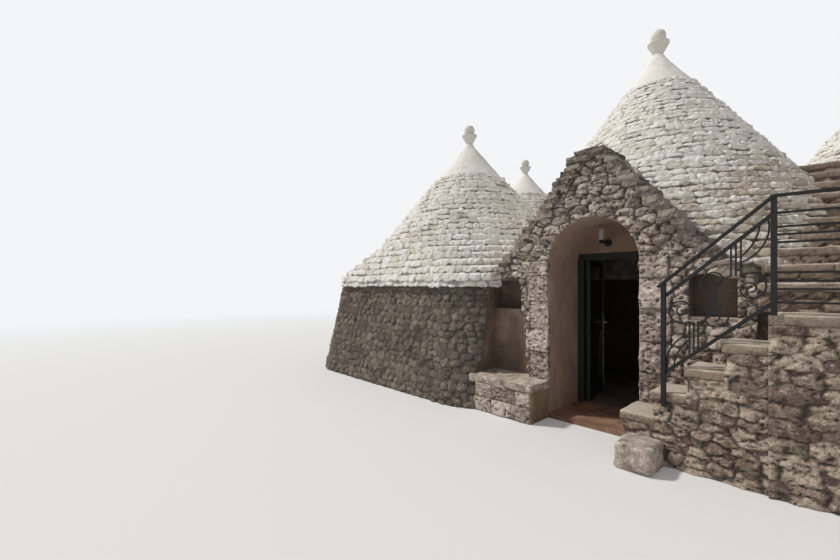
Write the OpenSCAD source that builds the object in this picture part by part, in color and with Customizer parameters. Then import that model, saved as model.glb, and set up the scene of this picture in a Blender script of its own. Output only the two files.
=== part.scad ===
// A trullo house: a main cone with an arched doorway in a flat gabled front, three more
// cones joined to it, a stone bench beside the door, and outside steps with an iron railing.
// The front wall lies in the plane y = 0, the doorway is centred on x = 0, the ground is z = 0.

/* [Doorway] */
// Clear width between the plastered reveals
door_w = 1010; // [960:10:1060]
// Height at which the round arch springs
arch_spring = 1860; // [1800:10:1900]
// Depth of the reveal, from the front wall's face to the door wall
reveal_depth = 740; // [700:5:745]
// Thickness of the plaster in the reveal and the niches
plaster_t = 20; // [15:1:30]
// Height of the underside of the plastered field over the door
lintel_z = 2010; // [1990:5:2040]
// Thickness of the door frame and of the plastered field over it
frame_d = 75; // [60:1:80]
// Width of the door frame's jambs and head
frame_w = 70; // [50:1:90]
// How far the threshold slab stands out of the front wall
threshold_out = 20; // [0:1:60]
// Thickness of the threshold and of the stone floor
floor_t = 50; // [40:1:60]

/* [Door leaf] */
// Thickness of the leaf
leaf_t = 45; // [36:1:50]
// Gap between the leaf and the frame all round
leaf_gap = 5; // [5:1:8]
// Width of the leaf's stiles and top rail
stile_w = 80; // [60:1:110]
// Height of the leaf's bottom rail
kick_h = 160; // [100:5:260]
// Angle at which the leaf stands open
door_open = 101; // [60:1:105]
// Height of the lever handle above the ground
handle_z = 1050; // [900:10:1200]

/* [Front wall] */
// Right end of the flat front wall
front_right = 1440; // [1400:10:1480]
// Half width of the gable at its foot
gable_half = 1320; // [1250:10:1380]
// Height of the gable's flat peak
gable_peak = 3110; // [3000:10:3200]
// Half width of the gable's flat peak
peak_half = 130; // [80:5:200]
// Thickness of the gable wall
gable_t = 380; // [300:10:420]
// Thickness of the coping's slabs
coping_t = 74; // [60:1:90]
// How far the coping's slabs stand out over the gable's slopes
coping_out = 34; // [20:1:50]
// How far the coping stands out in front of the gable
coping_front = 30; // [10:1:50]
// How far the whitewashed saddle behind the gable lies below its edge
saddle_drop = 80; // [40:5:120]

/* [Main trullo] */
// Distance of its centre behind the front wall's face
main_y = 2330; // [2310:10:2360]
// Height at which the cone's straight slope would end in a point
main_apex = 5120; // [5000:10:5250]
// Outer radius of its round walls
main_r = 2340; // [2310:10:2370]
// Height of the walls
wall_h = 1700; // [1680:10:1720]
// Radius of the round room
main_room_r = 1500; // [1450:10:1520]
// How far below the point of the slope the smooth plaster cap begins
main_cap_h = 620; // [520:10:670]

/* [Left trullo] */
// Place of its centre, to the left of the doorway
left_x = -3200; // [-3300:10:-3150]
// Place of its centre, behind the front wall's face
left_y = 1720; // [1650:10:1800]
// Height at which the cone's straight slope would end in a point
left_apex = 4440; // [4350:10:4500]
// Height of the battered walls
left_wall_h = 1580; // [1540:10:1620]
// Half width of the walls at the ground
left_foot = 2280; // [2200:10:2320]
// Half width of the walls at the top
left_head = 2000; // [1950:10:2050]
// Radius of the rounded wall corners at the ground
foot_corner = 900; // [700:10:1000]
// Radius of the rounded wall corners at the top
head_corner = 800; // [600:10:900]
// Height at which the square skirt of the roof has become round
skirt_z = 2250; // [2150:10:2350]
// Radius of the cone at that height
skirt_r = 1750; // [1700:10:1800]
// Radius of the rounded corners of the eaves
eave_corner = 950; // [850:10:1050]
// Radius of the round room
left_room_r = 1300; // [1200:10:1320]
// How far below the point of the slope the smooth plaster cap begins
left_cap_h = 790; // [690:10:840]

/* [Rear trullo] */
// Place of its centre, to the left of the doorway
rear_x = -4000; // [-4200:10:-3980]
// Place of its centre, behind the front wall's face
rear_y = 5000; // [4950:10:5100]
// Height at which the cone's straight slope would end in a point
rear_apex = 4640; // [4550:10:4660]
// Outer radius of its round walls
rear_r = 2260; // [2200:10:2280]
// Height of the walls
rear_wall_h = 1640; // [1620:10:1700]
// Radius of the round room
rear_room_r = 1300; // [1200:10:1350]
// How far below the point of the slope the smooth plaster cap begins
rear_cap_h = 660; // [580:10:720]

/* [Right trullo] */
// Place of its centre, to the right of the doorway
right_x = 2550; // [2500:10:2650]
// Place of its centre, behind the front wall's face
right_y = 4980; // [4900:10:5100]
// Height at which the cone's straight slope would end in a point
right_apex = 5000; // [4900:10:5080]
// Outer radius of its round walls
right_r = 2300; // [2260:10:2330]
// Radius of the round room
right_room_r = 1300; // [1200:10:1400]
// How far below the point of the slope the smooth plaster cap begins
right_cap_h = 620; // [540:10:680]

/* [Roofs and passages] */
// Thickness of the slabs at the eaves
eave_t = 70; // [50:1:90]
// How far the eaves stand out of the walls
eave_out = 80; // [50:1:110]
// Mean height of the courses of slabs on the main and right roofs
course_h = 74; // [66:1:84]
// Mean height of the courses of slabs on the left and rear roofs
low_course_h = 94; // [84:1:104]
// How far each course stands out over the one below it
course_out = 16; // [8:1:20]
// How much thinner the courses get towards the top, as a share of their height
course_thin = 0.2; // [0:0.05:0.3]
// Height at which the vaults spring inside
vault_spring = 1900; // [1900:10:1960]
// Thickness of the masonry between the top of each vault and its cap
crown_t = 200; // [150:10:300]
// Width of the passages between the rooms
passage_w = 800; // [700:10:850]
// Height of the passages above the ground
passage_h = 1880; // [1840:10:1890]

/* [Caps and finials] */
// Radius of the tip of each cap, where its finial stands
tip_r = 70; // [66:1:90]
// How far below the point of the slope the finials stand
tip_drop = 50; // [40:5:60]
// How far below the point of the slope the caps begin to draw in
draw_in = 220; // [180:10:300]
// Radius of the finials' necks
neck_r = 62; // [50:1:64]
// Height of the necks
neck_h = 40; // [30:1:60]
// Radius of the finials' cups
cup_r = 148; // [120:1:160]
// Height of the cups' rims above the feet of the finials
cup_h = 175; // [150:5:200]
// Thickness of the cups' rims
rim_t = 12; // [8:1:20]
// Radius of the top of the cups' lids
lid_r = 80; // [70:1:100]
// Height of the lids above the undersides of the rims
lid_h = 35; // [25:1:50]
// Radius of the finials' balls
ball_r = 103; // [80:1:110]
// Height of the balls' centres above the lids
ball_up = 80; // [70:1:90]

/* [Seat and niches] */
// Height of the bench seat
seat_z = 440; // [400:5:480]
// Thickness of the seat slab
seat_t = 80; // [60:1:100]
// Depth of the bench in front of the wall
bench_d = 406; // [340:2:440]
// How far the seat slab stands out over the bench
seat_out = 15; // [5:1:30]
// Right edge of the niche over the bench, at the seat
niche_x = -770; // [-800:5:-740]
// Height of the ledge in that niche
ledge_z = 1280; // [1200:10:1340]
// Depth of that niche below the ledge
niche_low_d = 145; // [120:5:180]
// Depth of that niche above the ledge
niche_top_d = 380; // [300:10:400]
// Left edge of the small niche in the right part of the wall
hole_x = 940; // [900:5:980]
// Width of the small niche
hole_w = 370; // [300:5:400]
// Height of the sill of the small niche
hole_z = 1300; // [1250:5:1360]
// Depth of the small niche
hole_d = 220; // [160:5:260]
// Thickness of its sill slab
sill_t = 30; // [20:1:50]

/* [Lower flight] */
// Depth of the flight in front of the wall
flight_d = 440; // [400:5:480]
// Left end of the landing, where the flight arrives
landing_x = 1560; // [1530:5:1600]
// Height of the landing
landing_z = 1370; // [1330:5:1400]
// Height of the first tread of the flight
first_tread_z = 400; // [370:5:430]
// Thickness of the treads and of the landing's slab
tread_t = 70; // [50:1:80]
// How far the treads stand out over the risers
nosing = 20; // [10:1:30]
// Height of the first block, in front of the flight
block_h = 230; // [200:5:250]
// Width of the first block
block_w = 310; // [280:10:400]
// Depth of the first block
block_d = 376; // [300:10:450]
// How far its left end lies from the foot of the flight
block_in = 50; // [0:5:100]
// How far the landing stands out in front of the flight
landing_out = 30; // [10:5:60]

/* [Upper flight] */
// Angle by which the upper flight and the landing turn away from the front wall
turn = 9; // [7:0.5:11]
// Width of the upper flight
upper_w = 1700; // [1600:10:1800]
// Rise from the landing to the first step
upper_first = 240; // [220:5:260]
// Rise of each further step
upper_rise = 160; // [150:1:165]
// Depth of each step
upper_going = 250; // [240:5:260]
// Depth of the whole flight with the terrace at its top
upper_d = 3500; // [3300:10:3600]
// Thickness of its slabs
slab_t = 60; // [50:1:70]
// How far its slabs stand out over the risers
slab_out = 25; // [10:1:40]

/* [Lamp] */
// Place of the lamp's plate across the plastered field
lamp_x = -100; // [-200:10:200]
// Height of the lamp's arm
lamp_z = 2130; // [2100:5:2160]
// How far the lamp stands out
lamp_reach = 200; // [150:10:260]
// Radius of the lamp's plate
lamp_plate_r = 45; // [35:1:55]
// Thickness of the lamp's plate
lamp_plate_t = 20; // [10:1:30]
// Radius of the lamp's arm
lamp_arm_r = 12; // [8:1:16]
// Radius of the lamp's holder
lamp_cup_r = 30; // [24:1:35]
// Height of the lamp's holder
lamp_cup_h = 40; // [30:1:50]
// Radius of the lamp's glass
lamp_glass_r = 36; // [30:1:45]
// Height of the lamp's glass
lamp_glass_h = 130; // [100:5:160]

/* [Railing] */
// Width of the square posts
post_w = 36; // [30:1:42]
// Place of the first post along the flight
post_x = 854; // [840:1:880]
// Height of the foot of the first post, on the side of the flight
post_foot_z = 530; // [480:5:600]
// How far the corner post stands behind the landing's left end
corner_in = 30; // [20:1:60]
// How far the last post stands from the landing's right end
end_in = 80; // [50:5:120]
// Height of the handrail's centre at the first post
rail_low = 1620; // [1580:5:1660]
// Height of the handrail's centre along the landing
rail_top = 2270; // [2230:5:2300]
// Width of the handrail
handrail_w = 45; // [36:1:50]
// Thickness of the handrail
handrail_t = 20; // [14:1:24]
// Thickness of the panels' rails and bars
bar_t = 16; // [12:1:20]
// Height of the sloping panel's rails
panel_rail_h = 28; // [20:1:36]
// Thickness of the forged scrolls
scroll_t = 10; // [8:1:14]
// Width of the flat bar that the scrolls are made of
scroll_w = 12; // [8:1:14]
// Radius of the outer turn of the scrolls
scroll_r = 95; // [80:1:100]
// Radius of each further half turn, as a share of the one outside it
scroll_in = 0.62; // [0.5:0.02:0.7]
// Width of the collar that ties the scrolls together
collar_w = 32; // [24:1:40]
// Height of that collar
collar_h = 64; // [50:2:90]
// Place of the first short bar from the middle of the sloping panel
bar_in = 110; // [100:2:130]
// Distance between the short bars
bar_step = 31; // [26:1:34]
// Height of the feet of the short bars over the middle of the panel
bar_foot = 190; // [170:5:230]
// How far the panels' top rails lie below the handrail
panel_top = 130; // [100:5:160]
// How far the panels' bottom rails lie below the handrail
panel_low = 800; // [760:5:820]

/* [Hidden] */

$fn = 240;
// Width of the joint left round curved seats
bed = 0.8;
// Overlap of a cutting solid past the face that it cuts
eps = 1;
// Size of the solids that cut away everything on one side of a plane
far = 12000;

limestone = "#b5aa97";
limewash = "#e4ded2";
rubble = "#8d8577";
plaster_white = "#efeae0";
plaster_brown = "#a28a6e";
step_stone = "#b7ab98";
paintwork = "#1f3327";
terracotta = "#8a4f35";
brass = "#b9975a";
pale_glass = "#c9d6d4";
iron = "#1c1c1e";

main_c = [0, main_y];
left_c = [left_x, left_y];
rear_c = [rear_x, rear_y];
right_c = [right_x, right_y];

// Radius that each cone gains for each unit of height
main_pitch = (main_r + eave_out) / (main_apex - wall_h - eave_t);
left_pitch = skirt_r / (left_apex - skirt_z);
rear_pitch = (rear_r + eave_out) / (rear_apex - rear_wall_h - eave_t);
right_pitch = (right_r + eave_out) / (right_apex - wall_h - eave_t);

// Height at which each cap begins, and height of the top of the vault under it
main_cap_z = main_apex - main_cap_h;
left_cap_z = left_apex - left_cap_h;
rear_cap_z = rear_apex - rear_cap_h;
right_cap_z = right_apex - right_cap_h;
main_vault = main_cap_z - crown_t;
left_vault = left_cap_z - crown_t;
rear_vault = rear_cap_z - crown_t;
right_vault = right_cap_z - crown_t;

// Direction from one centre to another
function heading(a, b) = atan2(b[1] - a[1], b[0] - a[0]);
// Distance from a, towards b, at which the slopes of their two cones meet in a valley
function valley(a, apex_a, pitch_a, b, apex_b, pitch_b) =
    (apex_a - apex_b + norm(b - a) / pitch_b) / (1 / pitch_a + 1 / pitch_b);
main_to_left = valley(main_c, main_apex, main_pitch, left_c, left_apex, left_pitch);
main_to_right = valley(main_c, main_apex, main_pitch, right_c, right_apex, right_pitch);
left_to_rear = valley(left_c, left_apex, left_pitch, rear_c, rear_apex, rear_pitch);
left_to_main = norm(left_c - main_c) - main_to_left;
right_to_main = norm(right_c - main_c) - main_to_right;
rear_to_left = norm(rear_c - left_c) - left_to_rear;

door_half = door_w / 2;
wall_door_half = door_half + plaster_t + bed;
frame_y = reveal_depth;
frame_back = frame_y + frame_d;
// Plane behind which the front wall's right part becomes the round wall
front_back = main_y - 0.82 * main_room_r;
// Back of the saddle roof, deep enough to end inside the cone and the round wall
porch_back = plaster_t + max(
    main_y - sqrt(pow(main_room_r, 2) - pow(wall_door_half, 2)),
    main_y - main_pitch * (main_apex - gable_peak));
gable_slope = (gable_half - peak_half) / (gable_peak - wall_h);

// The part of space on a's side of the party plane towards b, less half a joint
module own_side(a, b, reach) {
    translate([a[0], a[1], -far / 2])
        rotate([0, 0, heading(a, b)])
            translate([reach - bed / 2 - far, -far, 0])
                cube([far, 2 * far, far * 1.5]);
}

// The passage cut through the walls from a's room towards b's
module passage(a, b) {
    translate([a[0], a[1], -eps])
        rotate([0, 0, heading(a, b)])
            translate([0, -passage_w / 2, 0])
                cube([norm(b - a), passage_w, passage_h + eps]);
}

// The part of space between two directions from a centre
module sector(c, from, to) {
    steps = 4;
    translate([c[0], c[1], -eps])
        linear_extrude(far / 2)
            polygon(concat([[0, 0]], [
                for (i = [0:steps])
                    far * [cos(from + (to - from) * i / steps), sin(from + (to - from) * i / steps)]
            ]));
}

// The inside of a room: a round wall with a corbelled vault over it
module room_void(c, room_r, vault) {
    translate([c[0], c[1], 0])
        rotate_extrude()
            polygon([[0, -eps], [room_r, -eps], [room_r, vault_spring], [0, vault]]);
}

module round_walls(c, drum_r, room_r, h) {
    translate([c[0], c[1], 0])
        difference() {
            cylinder(r = drum_r, h = h);
            translate([0, 0, -eps])
                cylinder(r = room_r, h = h + 2 * eps);
        }
}

// Height of the foot of a course, of so many between two heights
function course_z(k, n, z0, z1) = z0 + (z1 - z0) * k / n * (1 + course_thin * (1 - k / n));

// The stepped outline of the courses of a round roof: each slab stands out over the one below
function courses(apex, pitch, from, n, z0, z1) = [
    for (k = [from:n - 1], end = [0, 1])
        let (z = course_z(k + end, n, z0, z1))
            [pitch * (apex - z) + (end == 0 && k > 0 ? course_out : 0), z]
];

// A round roof: the eave slab, the courses of slabs up to the cap, and the vault inside
module cone_roof(c, drum_r, pitch, walls, room_r, vault, cap_z, mean_h) {
    eave = drum_r + eave_out;
    foot = walls + eave_t;
    apex = foot + eave / pitch;
    translate([c[0], c[1], 0])
        rotate_extrude()
            polygon(concat(
                [[room_r, walls], [eave, walls]],
                courses(apex, pitch, 0, round((cap_z - foot) / mean_h), foot, cap_z),
                [[0, cap_z], [0, vault], [room_r, vault_spring]]
            ));
}

// The outside of a round trullo, a little larger, to cut what is built against it
module outer_void(c, drum_r, apex, walls) {
    eave = drum_r + eave_out;
    grow = course_out + bed;
    translate([c[0], c[1], 0])
        rotate_extrude()
            polygon([
                [0, -eps],
                [drum_r + bed, -eps],
                [drum_r + bed, walls - bed],
                [eave + grow, walls - bed],
                [eave + grow, walls + eave_t + bed],
                [grow, apex + bed],
                [0, apex + bed]
            ]);
}

// The smooth plaster cap, which draws in to the neck of the finial
module cap(c, apex, pitch, cap_z) {
    translate([c[0], c[1], 0])
        rotate_extrude()
            polygon([
                [0, cap_z],
                [pitch * (apex - cap_z), cap_z],
                [pitch * draw_in, apex - draw_in],
                [1.36 * tip_r, apex - draw_in / 2],
                [tip_r, apex - tip_drop],
                [0, apex - tip_drop]
            ]);
}

// The finial: a short neck, a cup that widens upwards, and a ball
module finial(c, apex) {
    translate([c[0], c[1], apex - tip_drop]) {
        rotate_extrude()
            polygon([
                [0, 0],
                [(tip_r + neck_r) / 2, 0],
                [neck_r, neck_h / 2],
                [1.2 * neck_r, neck_h],
                [cup_r, cup_h],
                [cup_r, cup_h + rim_t],
                [lid_r, cup_h + lid_h],
                [0, cup_h + lid_h]
            ]);
        translate([0, 0, cup_h + lid_h + ball_up])
            sphere(r = ball_r);
    }
}

// The gable's outline, from one depth to another, lowered by a drop
module gable_prism(y0, y1, drop) {
    foot = gable_half - drop * gable_slope;
    translate([0, y1, 0])
        rotate([90, 0, 0])
            linear_extrude(y1 - y0)
                polygon([
                    [-foot, wall_h], [foot, wall_h],
                    [peak_half, gable_peak - drop], [-peak_half, gable_peak - drop]
                ]);
}

// An arched prism with vertical sides, from one depth to another
module arch_prism(half, y0, y1, base) {
    translate([0, y1, 0])
        rotate([90, 0, 0])
            linear_extrude(y1 - y0) {
                translate([-half, base])
                    square([2 * half, arch_spring - base]);
                translate([0, arch_spring])
                    circle(r = half);
            }
}

// The doorway as it is cut through the masonry
module doorway_void() {
    arch_prism(wall_door_half, -eps, frame_back + bed, -eps);
    translate([-wall_door_half, 0, -eps])
        cube([2 * wall_door_half, main_y, lintel_z + eps]);
}

module main_ring() {
    round_walls(main_c, main_r, main_room_r, wall_h);
}

module main_wall_right() color(rubble)
    difference() {
        intersection() {
            main_ring();
            sector(main_c, -90, heading(main_c, right_c));
            own_side(main_c, right_c, main_to_right);
            translate([0, front_back, 0])
                cube([far, far, far]);
        }
        passage(main_c, right_c);
    }

module main_wall_back() color(rubble)
    difference() {
        intersection() {
            main_ring();
            sector(main_c, heading(main_c, right_c), heading(main_c, left_c) + 360);
            own_side(main_c, right_c, main_to_right);
            own_side(main_c, left_c, main_to_left);
        }
        passage(main_c, right_c);
        passage(main_c, left_c);
    }

// The round wall's front, squared off to the flat front face
module front_mass() {
    difference() {
        intersection() {
            union() {
                translate([-far / 2, 0, 0])
                    cube([far / 2 + front_right, front_back, wall_h]);
                translate([main_c[0], main_c[1], 0])
                    cylinder(r = main_r, h = wall_h);
            }
            translate([-far / 2, 0, 0])
                cube([far, main_y, wall_h]);
            own_side(main_c, left_c, main_to_left);
        }
        room_void(main_c, main_room_r, main_vault);
    }
}

// Right edge of the niche over the bench, which leans to the left as it rises
niche_lean = 90 / 840;
function niche_edge(z) = niche_x - niche_lean * (z - seat_z);

// The niche over the bench with the slot for its seat slab, grown by the thickness of its plaster
module seat_niche(grow) {
    difference() {
        translate([0, niche_top_d + grow, 0])
            rotate([90, 0, 0])
                linear_extrude(niche_top_d + grow + eps)
                    polygon([
                        [niche_x + grow, seat_z - seat_t],
                        [niche_x + grow, seat_z],
                        [niche_edge(wall_h) + grow, wall_h],
                        [niche_edge(wall_h) + grow, wall_h + eps],
                        [left_x, wall_h + eps],
                        [left_x, seat_z - seat_t]
                    ]);
        translate([left_x - eps, niche_low_d + grow, 0])
            cube([-left_x, far, ledge_z - grow]);
    }
}

module front_wall_left() color(limestone)
    difference() {
        intersection() {
            front_mass();
            sector(main_c, heading(main_c, left_c) + 360, 270);
            translate([-far - wall_door_half, -eps, -eps])
                cube([far, far, far]);
        }
        passage(main_c, left_c);
        seat_niche(plaster_t);
    }

module front_wall_right() color(limestone)
    difference() {
        intersection() {
            front_mass();
            translate([wall_door_half, -eps, -eps])
                cube([far, front_back + eps, far]);
        }
        translate([hole_x - plaster_t, -eps, hole_z - sill_t])
            cube([hole_w + 2 * plaster_t, hole_d + plaster_t + eps, wall_h]);
    }

// Outside of the coping's slabs, which step up the right slope of the gable, grown for a cut
coping_steps = round((gable_peak - wall_h) / coping_t);
function coping_z(k) = wall_h + (gable_peak - wall_h) * k / coping_steps;
function coping_edge(grow) = concat(
    [for (k = [0:coping_steps - 1], end = [0, 1])
        [
            gable_half - (coping_z(k) - wall_h) * gable_slope + coping_out + grow,
            coping_z(k + end) + (k + end > 0 ? grow : 0)
        ]],
    [for (z = [gable_peak, gable_peak + coping_t]) [peak_half + coping_out + grow, z + grow]]
);

// The coping's outline from one depth to another, with or without the gable that it lies on
module coping_prism(y0, y1, grow, hollow) {
    edge = coping_edge(grow);
    last = len(edge) - 1;
    translate([0, y1, 0])
        rotate([90, 0, 0])
            linear_extrude(y1 - y0)
                polygon(concat(
                    edge,
                    [for (i = [0:last]) [-edge[last - i][0], edge[last - i][1]]],
                    hollow ? [
                        [-gable_half - bed, wall_h], [-peak_half - bed, gable_peak],
                        [peak_half + bed, gable_peak], [gable_half + bed, wall_h]
                    ] : []
                ));
}

module gable_coping() color(rubble)
    coping_prism(-coping_front, gable_t, 0, true);

module gable_wall() color(limestone)
    difference() {
        gable_prism(0, gable_t, 0);
        doorway_void();
    }

module porch_roof() color(limewash)
    difference() {
        gable_prism(gable_t, porch_back, saddle_drop);
        doorway_void();
        room_void(main_c, main_room_r, main_vault);
    }

module main_roof() color(limewash)
    difference() {
        intersection() {
            cone_roof(main_c, main_r, main_pitch, wall_h, main_room_r, main_vault, main_cap_z,
                course_h);
            own_side(main_c, left_c, main_to_left);
            own_side(main_c, right_c, main_to_right);
        }
        gable_prism(-far / 2, gable_t, 0);
        gable_prism(gable_t, porch_back, saddle_drop);
        coping_prism(-far / 2, gable_t + bed, bed, false);
        doorway_void();
        passage(main_c, left_c);
        passage(main_c, right_c);
    }

module main_cap() color(plaster_white)
    cap(main_c, main_apex, main_pitch, main_cap_z);

// A square block with rounded corners, given at two heights
module rounded_block(z0, half0, corner0, z1, half1, corner1) {
    for (x = [-1, 1], y = [-1, 1]) {
        translate([x * (half0 - corner0), y * (half0 - corner0), z0])
            cylinder(r = corner0, h = eps, $fn = 32);
        translate([x * (half1 - corner1), y * (half1 - corner1), z1 - eps])
            cylinder(r = corner1, h = eps, $fn = 32);
    }
}

// The left trullo's battered walls, whole
module left_mass() {
    difference() {
        intersection() {
            translate([left_x, left_y, 0])
                hull()
                    rounded_block(0, left_foot, foot_corner, left_wall_h, left_head, head_corner);
            own_side(left_c, main_c, left_to_main);
            own_side(left_c, rear_c, left_to_rear);
        }
        room_void(left_c, left_room_r, left_vault);
        passage(left_c, main_c);
        passage(left_c, rear_c);
    }
}

module left_wall_front() color(rubble)
    intersection() {
        left_mass();
        sector(left_c, -135, heading(left_c, main_c));
    }

module left_wall_side() color(rubble)
    intersection() {
        left_mass();
        sector(left_c, heading(left_c, rear_c), 225);
    }

module left_wall_rear() color(rubble)
    intersection() {
        left_mass();
        sector(left_c, heading(left_c, main_c), heading(left_c, rear_c));
    }

// The left roof's half width and corner radius at a height: a square skirt that becomes round
left_foot_z = left_wall_h + eave_t;
eave_half = left_head + eave_out;
function skirt_share(z) = (z - left_foot_z) / (skirt_z - left_foot_z);
function skirt_size(z, start) =
    z < skirt_z ? start + (skirt_r - start) * skirt_share(z) : left_pitch * (left_apex - z);

left_courses = round((left_cap_z - left_foot_z) / low_course_h);
left_zs = [for (k = [0:left_courses]) course_z(k, left_courses, left_foot_z, left_cap_z)];
// The first course that is round
round_from = len([for (z = left_zs) if (z < skirt_z) z]);

// A square outline with rounded corners, as a ring of points at one height
corner_n = 8;
function skirt_ring(z, half, corner) = [
    for (q = [0:3], j = [0:corner_n - 1])
        let (a = 90 * (q + (j + 0.5) / corner_n), side = half - corner, r = corner / cos(45 / corner_n))
            [(q % 3 == 0 ? side : -side) + r * cos(a), (q < 2 ? side : -side) + r * sin(a), z]
];

// The eave slab and the courses of the left roof's square skirt
module left_skirt() {
    rings = concat(
        [skirt_ring(left_wall_h, eave_half, eave_corner)],
        [for (k = [0:round_from - 1], end = [0, 1])
            let (z = left_zs[k + end], out = end == 0 && k > 0 ? course_out : 0)
                skirt_ring(z, skirt_size(z, eave_half) + out, skirt_size(z, eave_corner) + out)]
    );
    n = 4 * corner_n;
    last = len(rings) - 1;
    polyhedron(
        points = [for (r = rings) each r],
        faces = concat(
            [[for (i = [0:n - 1]) i], [for (i = [0:n - 1]) n * last + n - 1 - i]],
            [for (k = [0:last - 1], i = [0:n - 1])
                [n * k + i, n * (k + 1) + i, n * (k + 1) + (i + 1) % n, n * k + (i + 1) % n]]
        )
    );
}

module left_roof() color(limewash) {
    round_z = left_zs[round_from];
    inner_r = skirt_size(round_z, eave_half) - eave_t;
    difference() {
        intersection() {
            translate([left_x, left_y, 0])
                union() {
                    left_skirt();
                    rotate_extrude()
                        polygon(concat(
                            [[0, round_z - eave_t], [inner_r, round_z - eave_t], [inner_r, round_z]],
                            courses(left_apex, left_pitch, round_from, left_courses, left_foot_z, left_cap_z),
                            [[0, left_cap_z]]
                        ));
                }
            own_side(left_c, main_c, left_to_main);
            own_side(left_c, rear_c, left_to_rear);
        }
        room_void(left_c, left_room_r, left_vault);
        passage(left_c, main_c);
        passage(left_c, rear_c);
    }
}

module left_cap() color(plaster_white)
    cap(left_c, left_apex, left_pitch, left_cap_z);

module rear_mass() {
    difference() {
        intersection() {
            round_walls(rear_c, rear_r, rear_room_r, rear_wall_h);
            own_side(rear_c, left_c, rear_to_left);
        }
        passage(rear_c, left_c);
    }
}

module rear_wall_left() color(rubble)
    intersection() {
        rear_mass();
        sector(rear_c, heading(rear_c, left_c) - 180, heading(rear_c, left_c));
    }

module rear_wall_right() color(rubble)
    intersection() {
        rear_mass();
        sector(rear_c, heading(rear_c, left_c), heading(rear_c, left_c) + 180);
    }

module rear_roof() color(limewash)
    difference() {
        intersection() {
            cone_roof(rear_c, rear_r, rear_pitch, rear_wall_h, rear_room_r, rear_vault, rear_cap_z,
                low_course_h);
            own_side(rear_c, left_c, rear_to_left);
        }
        passage(rear_c, left_c);
    }

module rear_cap() color(plaster_white)
    cap(rear_c, rear_apex, rear_pitch, rear_cap_z);

module right_mass() {
    difference() {
        intersection() {
            round_walls(right_c, right_r, right_room_r, wall_h);
            own_side(right_c, main_c, right_to_main);
        }
        passage(right_c, main_c);
    }
}

module right_wall_front() color(rubble)
    intersection() {
        right_mass();
        sector(right_c, heading(right_c, main_c), heading(right_c, main_c) + 180);
    }

module right_wall_back() color(rubble)
    intersection() {
        right_mass();
        sector(right_c, heading(right_c, main_c) - 180, heading(right_c, main_c));
    }

module right_roof() color(limewash)
    difference() {
        intersection() {
            cone_roof(right_c, right_r, right_pitch, wall_h, right_room_r, right_vault, right_cap_z,
                course_h);
            own_side(right_c, main_c, right_to_main);
        }
        passage(right_c, main_c);
    }

module right_cap() color(plaster_white)
    cap(right_c, right_apex, right_pitch, right_cap_z);

module finials() color(plaster_white) {
    finial(main_c, main_apex);
    finial(left_c, left_apex);
    finial(rear_c, rear_apex);
    finial(right_c, right_apex);
}

// The floor's strip through the passage between two rooms
module floor_strip(a, b) {
    translate(a)
        rotate(heading(a, b))
            translate([0, bed - passage_w / 2])
                square([norm(b - a), passage_w - 2 * bed]);
}

module stone_floor() color(limestone)
    linear_extrude(floor_t) {
        difference() {
            translate(main_c)
                circle(r = main_room_r - bed);
            translate([-door_half, -far])
                square([door_w, frame_back + far]);
        }
        translate(left_c)
            circle(r = left_room_r - bed);
        translate(rear_c)
            circle(r = rear_room_r - bed);
        translate(right_c)
            circle(r = right_room_r - bed);
        floor_strip(main_c, left_c);
        floor_strip(main_c, right_c);
        floor_strip(left_c, rear_c);
        translate([-door_half, frame_back])
            square([door_w, main_y - frame_back]);
    }

module threshold() color(terracotta)
    translate([-door_half, -threshold_out, 0])
        cube([door_w, frame_back + threshold_out, floor_t]);

module reveal_lining() color(plaster_brown)
    difference() {
        union() {
            difference() {
                arch_prism(door_half + plaster_t, 0, frame_back, 0);
                arch_prism(door_half, -eps, frame_back + eps, -eps);
            }
            for (side = [-1, 1])
                translate([side * (door_half + plaster_t / 2) - plaster_t / 2, frame_back - eps, 0])
                    cube([plaster_t, porch_back - frame_back + eps, arch_spring]);
        }
        room_void(main_c, main_room_r, main_vault);
    }

module tympanum() color(plaster_brown)
    intersection() {
        arch_prism(door_half - bed, frame_y, frame_back, 0);
        translate([-door_half, 0, lintel_z])
            cube([door_w, far, far]);
    }

// Faces of the closed leaf, and the line of its hinges
head_z = lintel_z - frame_w;
leaf_half = door_half - frame_w - leaf_gap;
leaf_right = leaf_half - 2;
leaf_front = frame_back - leaf_gap - leaf_t;
leaf_back = frame_back - leaf_gap;
leaf_foot = floor_t + 2 * leaf_gap;
leaf_top = head_z - leaf_gap;
hinge_r = 7;
hinge_x = -leaf_half - 1;
hinge_y = frame_back + hinge_r;
barrel_h = 35;
pin_r = 3.5;
pin_gap = 0.3;
hinge_in = 190;
hinge_zs = [leaf_foot + hinge_in, (leaf_foot + leaf_top) / 2 - barrel_h, leaf_top - hinge_in - 2 * barrel_h];
hinge_leaf_w = 34;

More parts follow.
